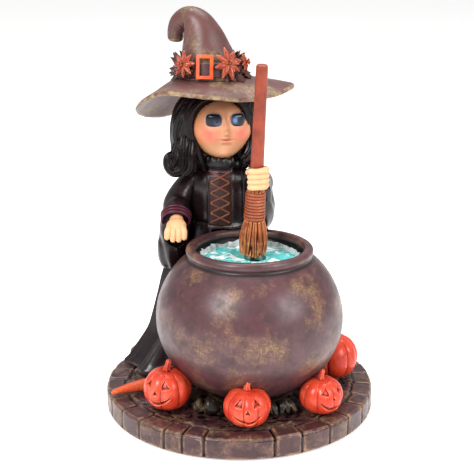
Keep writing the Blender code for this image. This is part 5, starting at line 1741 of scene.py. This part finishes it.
for share in np.linspace(-0.9, 1.0, BRIM_ROWS):
    hat_rings.append(brim_ring(share, 0.0024 + 0.0036 * (1 - max(share, 0.0))))
for step in range(1, 6):
    # The rounded edge, thinner than the brim.
    ring = brim_ring(1.0, 0.0024 - 0.0024 * step / 6)
    outward = np.stack([np.cos(hat_turns), np.sin(hat_turns), 0 * hat_turns], axis=1)
    hat_rings.append(ring + outward * 0.0005 * math.sin(math.pi * step / 6))
for share in np.linspace(1.0, 0.03, BRIM_ROWS):
    hat_rings.append(brim_ring(share, 0.0))
spine_shares = np.linspace(0, 1, CROWN_ROWS)
spine = run_through(CROWN_SPINE, spine_shares)
lean = np.gradient(spine[:, :3], axis=0)
lean /= np.linalg.norm(lean, axis=1)[:, None]
for i in range(CROWN_ROWS):
    # Level at the foot and square to the spine from a third of the way up.
    towards = np.clip(spine_shares[i] / 0.3, 0, 1)
    axis = Vector((0, 0, 1)).lerp(Vector(lean[i]), float(towards)).normalized()
    tilt = np.array(Vector((0, 0, 1)).rotation_difference(axis).to_matrix())
    flare = 0.0016 * math.exp(-spine_shares[i] / 0.035)
    # Soft creases where the crown bends over.
    bend = math.exp(-(((spine_shares[i] - 0.62) / 0.16) ** 2))
    crease = -0.0011 * bend * np.clip(np.cos(hat_turns - 3.3), 0, 1) ** 3 * (
        0.5 + 0.5 * math.cos(spine_shares[i] * 95)
    )
    fold = 0.00045 * np.sin(hat_turns * 3 + spine_shares[i] * 7) * (1 - spine_shares[i]) * towards
    size = (spine[i, 3] + flare + crease + fold)[:, None]
    level = np.stack([np.cos(hat_turns), np.sin(hat_turns), 0 * hat_turns], axis=1) * size
    ring = spine[i, :3] + level @ tilt.T
    ring += (level @ tilt.T) / np.maximum(size, 1e-5) * (lumps(ring, 0.009, 6) * 0.00035)[:, None]
    hat_rings.append(ring)
for step in (0.8, 0.45, 0.0):
    hat_rings.append(
        hat_rings[-1] * 0 + spine[-1, :3] + lean[-1] * 0.0018 * math.sqrt(1 - step**2)
        + (ring - spine[-1, :3]) * step
    )
hat_rings = np.array(hat_rings)


def hat_skin(turn, share):
    rows = np.rint(share * (len(hat_rings) - 1)).astype(int)
    return tuple(hat_rings[rows, np.rint(turn / (2 * math.pi) * HAT_AROUND).astype(int) % HAT_AROUND].T)


hat = wrapped("bent_hat", HAT_AROUND, len(hat_rings) - 1, hat_skin)
hat_resin = stained_resin(
    "brushed_hat_resin",
    "#613d3a",
    "#150b0b",
    "#ac946c",
    patches=0.72,
    gloss=0.38,
    other="#4b2e2e",
    patch_size=0.018,
    edges=0.75,
)
fix(hat, hat_resin, "figure", "resin_brown", "hat", passes=24, depth=0.0006)


def crown_at(rise):
    """The crown's middle in X and its radius, this far above its foot."""
    levels = (0.0005, 0.0070, 0.0150)
    middle = np.interp(rise, levels, (CROWN_X, CROWN_X - 0.0014, CROWN_X - 0.0032))
    return middle, np.interp(rise, levels, (CROWN_RADIUS, CROWN_RADIUS - 0.0015, CROWN_RADIUS - 0.0038))


def on_crown(degrees, out, rise):
    """A place on the band, this far out from the crown, with the directions across, up and outward there."""
    turn = math.radians(degrees)
    x, radius = crown_at(rise)
    place = np.array(
        [x + (radius + out) * math.cos(turn), CROWN_Y + (radius + out) * math.sin(turn), CROWN_FOOT + rise]
    )
    outward = np.array([math.cos(turn), math.sin(turn), 0.25])
    outward /= np.linalg.norm(outward)
    across = np.cross([0, 0, 1], outward)
    across /= np.linalg.norm(across)
    return place, across, np.cross(outward, across), outward


band_rows = stations(
    (0.0003, 0.0022, 4), (0.0019, 0.0022, 14), (0.0019, 0.0102, 4), (0.0003, 0.0102, 10), (0.0003, 0.0022, 1)
)


def band_skin(turn, share):
    row = share * (len(band_rows) - 1)
    out, rise = (np.interp(row, np.arange(len(band_rows)), band_rows[:, k]) for k in (0, 1))
    x, radius = crown_at(rise)
    radius = radius + out
    weave = np.stack([radius * np.cos(turn), radius * np.sin(turn), rise], axis=1)
    radius = radius + np.where(out > 0.001, lumps(weave, 0.004, 3) * 0.0002, 0)
    return x + radius * np.cos(turn), CROWN_Y + radius * np.sin(turn), CROWN_FOOT + rise


band = wrapped("hat_ribbon", 300, len(band_rows) - 1, band_skin)
ribbon_resin = stained_resin(
    "brown_ribbon_paint", "#4d3336", "#140a0a", "#8b7468", patches=0.4, gloss=0.26, grain=0.00005
)
fix(band, ribbon_resin, "figure", "resin_robe", "hat_band", passes=8, depth=0.0003)

# ---- Buckle ----
# A square frame cast on the band, painted orange, open in the middle to the dark ribbon.

deselect()
bpy.ops.mesh.primitive_plane_add(size=1)
buckle = bpy.context.object
buckle.name = "orange_buckle"
move_to(buckle, points_of(buckle) * (0.0101, 0.0142, 1))
bpy.ops.object.mode_set(mode="EDIT")
bpy.ops.mesh.select_all(action="SELECT")
bpy.ops.mesh.inset(thickness=0.0020)
bpy.ops.mesh.delete(type="FACE")
bpy.ops.object.mode_set(mode="OBJECT")
finish_with(buckle, "SOLIDIFY", thickness=0.0018, offset=0)
finish_with(buckle, "SUBSURF", subdivision_type="SIMPLE", levels=3)
finish_with(buckle, "BEVEL", width=0.00075, segments=5, limit_method="ANGLE")
place, across, upward, outward = on_crown(-95, 0.0018 + 0.0018, 0.0082)
at = points_of(buckle)
curve = at[:, 0] ** 2 * 22
move_to(
    buckle,
    place + at[:, :1] * across + at[:, 1:2] * upward + (
        at[:, 2] - curve + lumps(at, 0.003, 2) * 0.0001
    )[:, None] * outward,
)
orange_paint = stained_resin(
    "orange_gloss_paint",
    "#df5a26",
    "#6b1d0a",
    "#f09055",
    patches=0.35,
    gloss=0.30,
    other="#c43f22",
    patch_size=0.010,
    grain=0.00006,
)
fix(buckle, orange_paint, "figure", "resin_orange", "hat_buckle", passes=8, depth=0.0003)

# ---- Garland and flowers ----
# Separate leaves and pointed petals, cast, glued round the band and painted.
# The leaves are dark plum and overlap; the flowers are orange-red with tan tips and a knot of stamens.


def leaf(name, length, width, cup, columns=8, rows=12, thickness=0.00035):
    """A pointed leaf or petal that lies along +Y from the origin, with a raised midrib and a cupped back."""

    def shape(u, v):
        side = u * 2 - 1
        swell = np.sin(math.pi * np.clip(v, 0.02, 0.995) ** 0.75) ** 0.8
        lift = cup * (v - 0.15) ** 2 * length - 0.30 * width * side**2 * swell + 0.10 * width * np.exp(
            -((side / 0.22) ** 2)
        )
        return side * width / 2 * swell, v * length, lift

    return plate(name, columns, rows, thickness, shape)


def lay(piece, place, across, upward, outward, spin, tip):
    """Turns a leaf in its own plane, tips its end out from the surface and puts it in place."""
    at = points_of(piece)
    forward = at[:, 1] * math.cos(tip) - at[:, 2] * math.sin(tip)
    out = at[:, 1] * math.sin(tip) + at[:, 2] * math.cos(tip)
    side = at[:, 0] * math.cos(spin) - forward * math.sin(spin)
    up = at[:, 0] * math.sin(spin) + forward * math.cos(spin)
    move_to(piece, place + side[:, None] * across + up[:, None] * upward + out[:, None] * outward)
    return piece


leaf_rng = np.random.default_rng(9)
leaves = []
for number, degrees in enumerate(np.linspace(-62, 247, 60)):
    place, across, upward, outward = on_crown(
        degrees, 0.0032, 0.0040 + 0.0038 * (number % 2) + leaf_rng.uniform(-0.0008, 0.0008)
    )
    piece = leaf(
        f"leaf_{number + 1}", leaf_rng.uniform(0.0052, 0.0068), leaf_rng.uniform(0.0036, 0.0048), 0.3
    )
    spin = leaf_rng.uniform(-0.9, 0.9) + (0.5 if number % 2 else 2.5)
    leaves.append(lay(piece, place, across, upward, outward, spin, leaf_rng.uniform(0.02, 0.28)))
ring_points = [on_crown(d, 0.0024, 0.0058)[0] for d in np.linspace(-60, 245, 26)]
leaves.append(limb("garland_core", ring_points, [0.0016] * 5, 16, 160, ridges=3, depth=0.2, twist=60))
leaf_paint = stained_resin(
    "dark_leaf_paint",
    "#301a1b",
    "#0d0606",
    "#743a2c",
    patches=0.55,
    gloss=0.38,
    other="#4a2320",
    patch_size=0.007,
    grain=0.00006,
)
fix(joined("leaf_garland", leaves), leaf_paint, "figure", "resin_robe", "hat_garland", passes=3, depth=0.0002)

petal_paint = stained_resin(
    "petal_red_paint",
    "#8e2f1c",
    "#2a0904",
    "#cb8a5c",
    patches=0.5,
    gloss=0.38,
    other="#93301f",
    patch_size=0.004,
    grain=0.00006,
)
for number, (degrees, size, rise) in enumerate(
    ((-55, 0.0090, 0.0100), (-129, 0.0076, 0.0094), (-16, 0.0052, 0.0092))
):
    place, across, upward, outward = on_crown(degrees, 0.0060, rise)
    petals = []
    for count, length, lift, start in ((8, 1.0, 0.20, 0.15), (6, 0.62, 0.50, 0.4)):
        for step in range(count):
            grow = length * size * leaf_rng.uniform(0.92, 1.06)
            piece = leaf(f"petal_{len(petals) + 1}", grow, grow * 0.42, -0.45, 8, 10, 0.0006)
            petals.append(
                lay(
                    piece,
                    place + outward * 0.0006 * (count == 7),
                    across,
                    upward,
                    outward,
                    start + step * 2 * math.pi / count,
                    lift,
                )
            )
    for step in range(8):
        spin = step * 2.4
        lean_out = 0.0004 + 0.0010 * (step / 8)
        top = place + (across * math.cos(spin) + upward * math.sin(spin)) * lean_out * 1.6 + outward * 0.0030
        petals.append(
            limb(
                f"stamen_{step + 1}",
                [place + outward * 0.0004, (place + top) / 2 + outward * 0.0004, top],
                [0.00028, 0.00030, 0.00052],
                10,
                12,
            )
        )
    fix(
        joined(f"hat_flower_{number + 1}_petals", petals),
        petal_paint,
        "figure",
        "resin_orange",
        f"hat_flower_{number + 1}",
        passes=3,
        depth=0.00010,
    )

# ---- Pumpkins ----
# Four solid castings glued round the pot's foot, glossy orange-red with darker wash in ribs and carved faces.
# Each is flattened behind where it meets the pot. The one at the back has no face.

PUMPKIN_RADIUS, PUMPKIN_HALF = 0.0137, 0.0104


def carved(across, up):
    """How deep a jack-o'-lantern's face is cut, in metres, across and up from its middle."""
    s, t = np.abs(across) * 1000, up * 1000

    def inside(*edges):
        return np.clip(np.minimum.reduce(edges) / 0.35 + 0.5, 0, 1)

    eye = inside(t - 4.1 - 0.15 * (s - 5.0), (s - 3.7) * 1.1, 8.4 - t - 1.15 * np.abs(s - 5.7), 9.0 - s)
    nose = inside(t - 0.6, 3.3 - t - 1.9 * s)
    curve = 1 - (s / 8.9) ** 2
    mouth = inside(-0.2 - 3.7 * curve - t, t + 0.7 + 5.4 * curve, 8.9 - s)
    return 0.0016 * np.maximum(np.maximum(eye, nose), mouth)


pumpkin_paint = stained_resin(
    "pumpkin_gloss_paint",
    "#d0452c",
    "#5a1108",
    "#ee8a68",
    patches=0.42,
    gloss=0.28,
    other="#b32812",
    patch_size=0.012,
    grain=0.00008,
)
for name, degrees, scale, out, tall, facing in (
    ("pumpkin_middle", 268, 1.0, 0.0, 1.10, 0.02),
    ("pumpkin_left", 209, 1.03, 0.0045, 1.18, -0.50),
    ("pumpkin_right", 322, 0.94, 0.005, 1.12, 0.60),
    ("pumpkin_back", 20, 1.15, 0.002, 1.17, None),
):
    foot = BASE_TOP + 0.0003
    reach = float(pot_radius(BASE_TOP + PUMPKIN_HALF * scale * tall)) + PUMPKIN_RADIUS * scale - 0.0035 + out
    middle = np.array(
        [
            POT_X + reach * math.cos(math.radians(degrees)),
            POT_Y + reach * math.sin(math.radians(degrees)),
            foot + PUMPKIN_HALF * scale * tall * 0.94,
        ]
    )

    def pumpkin_skin(turn, share):
        rise = np.pi * (0.03 + 0.94 * share)
        pole = np.clip(share / 0.02, 0, 1) * np.clip((1 - share) / 0.02, 0, 1)
        wide = np.sin(rise) ** 0.85
        rib = np.abs(np.sin(turn * 4 + 0.9 + 0.25 * np.sin(turn * 3 + degrees))) ** 0.42
        radius = PUMPKIN_RADIUS * (0.875 + 0.125 * rib) * wide * pole
        height = -PUMPKIN_HALF * tall * np.cos(rise) * (1 - 0.16 * np.exp(-((radius / 0.0045) ** 2)))
        if facing is not None:
            # The face looks along -Y, turned by facing.
            off = (turn + math.pi / 2 - facing + math.pi) % (2 * math.pi) - math.pi
            cut = carved(off * PUMPKIN_RADIUS * 0.98, height) * (np.abs(off) < 1.2)
            radius = radius - cut
        at = np.stack([radius * np.cos(turn), radius * np.sin(turn), height], axis=1)
        radius = radius + lumps(at, 0.004, 3) * 0.00010
        points = np.stack([radius * np.cos(turn), radius * np.sin(turn), height], axis=1) * scale + middle
        points[:, 2] = np.maximum(points[:, 2], foot)
        return tuple(clear_of_pot(points, 0.0003).T)

    body = wrapped(name + "_body", 364, 124, pumpkin_skin)
    top = middle + np.array([0, 0, PUMPKIN_HALF * tall * 0.80]) * scale
    bow = np.array([0.0008, -0.0002, 0]) if name != "pumpkin_left" else np.array([0.0014, 0, 0])
    stem = limb(
        name + "_stem",
        [
            top,
            top + (0, 0, 0.0024 * scale),
            top + bow * 0.5 + (0, 0, 0.0050 * scale),
            top + bow + (0, 0, 0.0076 * scale),
        ],
        [0.0026 * scale, 0.0017 * scale, 0.0014 * scale, 0.0015 * scale],
        40,
        40,
        ridges=5,
        depth=0.16,
        twist=1.2,
    )
    fix(
        joined(name + "_cast", [body, stem]),
        pumpkin_paint,
        "figure",
        "resin_orange",
        name,
        passes=14,
        depth=0.0004,
    )

# ---- Carrot, fire log and roots ----
# Small castings on the paving: a ringed carrot, the stump of a log, and two charred roots from under the pot.

tip, thick = np.array([-0.0771, -0.0267, BASE_TOP + 0.0019]), np.array([-0.0515, -0.0180, BASE_TOP + 0.0044])
carrot_path = [
    tip + (thick - tip) * s + np.array([0, 0, 0.0006]) * math.sin(math.pi * s) for s in np.linspace(0, 1, 6)
]
carrot = limb("ringed_carrot", carrot_path, [0.0013, 0.0022, 0.0029, 0.0035, 0.0040, 0.0040], 48, 110)
at = points_of(carrot)
way = ((at - tip) @ (thick - tip)) / np.dot(thick - tip, thick - tip)
centre = tip + way[:, None] * (thick - tip)
ring_cut = np.exp(-(((way * 9 + 0.25 * np.sin(at[:, 2] * 900)) % 1 - 0.5) / 0.13) ** 2)
move_to(carrot, centre + (at - centre) * (1 - 0.035 * ring_cut)[:, None])
carrot_paint = stained_resin(
    "carrot_orange_paint",
    "#c9502a",
    "#7d2a10",
    "#f0935c",
    patches=0.45,
    gloss=0.32,
    other="#cf4f26",
    patch_size=0.008,
    grain=0.00008,
)
fix(carrot, carrot_paint, "figure", "resin_orange", "carrot", passes=8, depth=0.0003)

char_resin = stained_resin(
    "charred_wood_resin",
    "#1d1511",
    "#060404",
    "#a08a62",
    patches=0.55,
    gloss=0.30,
    other="#161010",
    patch_size=0.006,
    grain=0.0002,
)
log_at = [math.radians(236), 0.0430]
log_x, log_y = POT_X + log_at[1] * math.cos(log_at[0]), POT_Y + log_at[1] * math.sin(log_at[0])
log = melted(
    "fire_log_cast",
    [
        limb(
            "log_body",
            [
                (log_x + 0.0062, log_y + 0.0085, BASE_TOP + 0.0036),
                (log_x + 0.0030, log_y + 0.0020, BASE_TOP + 0.0044),
                (log_x - 0.0004, log_y - 0.0046, BASE_TOP + 0.0040),
            ],
            [0.0044, 0.0052, 0.0050],
            30,
            40,
            ridges=3,
            depth=0.16,
            twist=0.5,
        ),
        limb(
            "log_side",
            [
                (log_x - 0.0048, log_y + 0.0080, BASE_TOP + 0.0028),
                (log_x - 0.0056, log_y + 0.0020, BASE_TOP + 0.0034),
                (log_x - 0.0058, log_y - 0.0020, BASE_TOP + 0.0024),
            ],
            [0.0036, 0.0040, 0.0034],
            30,
            40,
            ridges=4,
            depth=0.14,
            twist=0.6,
        ),
        ball(
            "log_chip",
            (log_x + 0.0068, log_y - 0.0014, BASE_TOP + 0.0014),
            (0.0034, 0.0026, 0.0020),
            (0.4, 0.1, 1.0),
            10,
        ),
    ],
    0.0003,
    1,
)
move_to(log, clear_of_pot(points_of(log)))
fix(log, char_resin, "figure", "resin_brown", "fire_log", passes=10, depth=0.0003)
for name, degrees, reach, seed in (("root_1", 287, 0.0370, 1), ("root_2", 301, 0.0388, 2)):
    root_rng = np.random.default_rng(seed)
    x, y = POT_X + reach * math.cos(math.radians(degrees)), POT_Y + reach * math.sin(math.radians(degrees))
    outward = np.array([math.cos(math.radians(degrees)), math.sin(math.radians(degrees)), 0])
    sideways = np.array([-outward[1], outward[0], 0])
    parts = []
    for fork in range(3):
        lean_by = root_rng.uniform(-0.5, 0.5)
        start = np.array([x, y, BASE_TOP + 0.0072]) - outward * 0.0015 + sideways * 0.0012 * (fork - 1)
        end = np.array([x, y, BASE_TOP + 0.0008]) + outward * (0.0036 + 0.0012 * fork) + sideways * (
            0.0038 * (fork - 1) + 0.002 * lean_by
        )
        knee = (start + end) / 2 + outward * 0.0012 + np.array([0, 0, 0.0012])
        parts.append(
            limb(
                f"{name}_fork_{fork + 1}",
                [start, knee, end],
                [0.0018, 0.0019, 0.0011],
                20,
                30,
                ridges=4,
                depth=0.15,
                twist=3,
            )
        )
    root = melted(name + "_cast", parts, 0.00028, 1)
    move_to(root, clear_of_pot(points_of(root)))
    fix(root, char_resin, "figure", "resin_brown", name, passes=8, depth=0.0003)

# ---- Works inside and below ----
# The frame's own shapes stay: black ABS cover, tower, box, door, switch and crank; steel motor, pin and
# screws; green boards with solder mask; rubber feet; plain sleeves on the cells; clear LED lenses.


def plain_finish(name, colour, other, roughness, grain_mm, bump_mm, **values):
    """A moulded, drawn or coated surface: two close colours and a fine texture of a real size."""
    material, tree, shader = new_material(name, colour, roughness, **values)
    place = add_node(tree, "ShaderNodeTexCoord").outputs["Object"]
    grain = add_node(
        tree,
        "ShaderNodeTexNoise",
        {"Vector": place},
        {"Scale": 1000 / grain_mm, "Detail": 4, "Roughness": 0.6},
    )
    broad = add_node(tree, "ShaderNodeTexNoise", {"Vector": place}, {"Scale": 1000 / 12, "Detail": 3})
    tone = add_node(
        tree,
        "ShaderNodeMix",
        {"Factor": broad.outputs["Fac"]},
        {6: linear(colour), 7: linear(other)},
        data_type="RGBA",
    )
    tree.links.new(tone.outputs[2], shader.inputs["Base Color"])
    shine = add_node(
        tree, "ShaderNodeMapRange", {0: grain.outputs["Fac"]}, {3: roughness - 0.08, 4: roughness + 0.08}
    )
    tree.links.new(shine.outputs[0], shader.inputs["Roughness"])
    bump = add_node(
        tree,
        "ShaderNodeBump",
        {"Height": grain.outputs["Fac"]},
        {"Strength": 0.4, "Distance": bump_mm / 1000},
    )
    tree.links.new(bump.outputs[0], shader.inputs["Normal"])
    return material


black_abs = plain_finish("moulded_black_abs", "#1b1b1c", "#151516", 0.48, 0.7, 0.03)
drawn_steel = plain_finish("drawn_steel", "#b9babb", "#a3a4a6", 0.30, 0.5, 0.01, Metallic=1.0)
solder_mask = plain_finish("green_solder_mask", "#1d5b33", "#184d2b", 0.34, 1.2, 0.02)
soft_rubber = plain_finish("soft_black_rubber", "#202021", "#19191a", 0.75, 0.6, 0.04)
cell_sleeve = plain_finish("blue_cell_sleeve", "#2c3f74", "#24345f", 0.32, 2.0, 0.01)
lens_clear, _, _ = new_material("clear_led_epoxy", "#f4f7f7", 0.08, Transmission_Weight=1.0, IOR=1.53)
for finish, nodes in (
    (
        black_abs,
        "base_cover battery_box battery_door switch_body switch_knob "
        "motor_tower crank_disc fist_bush battery_lead motor_lead",
    ),
    (drawn_steel, "cover_screw_1 cover_screw_2 cover_screw_3 cover_screw_4 gear_motor drive_pin"),
    (solder_mask, "control_board led_board"),
    (soft_rubber, "foot_pad_1 foot_pad_2 foot_pad_3 foot_pad_4"),
    (cell_sleeve, "battery_cell_1 battery_cell_2 battery_cell_3"),
    (lens_clear, "led_1 led_2 led_3"),
):
    for node in nodes.split():
        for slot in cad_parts[node].material_slots:
            slot.material = finish
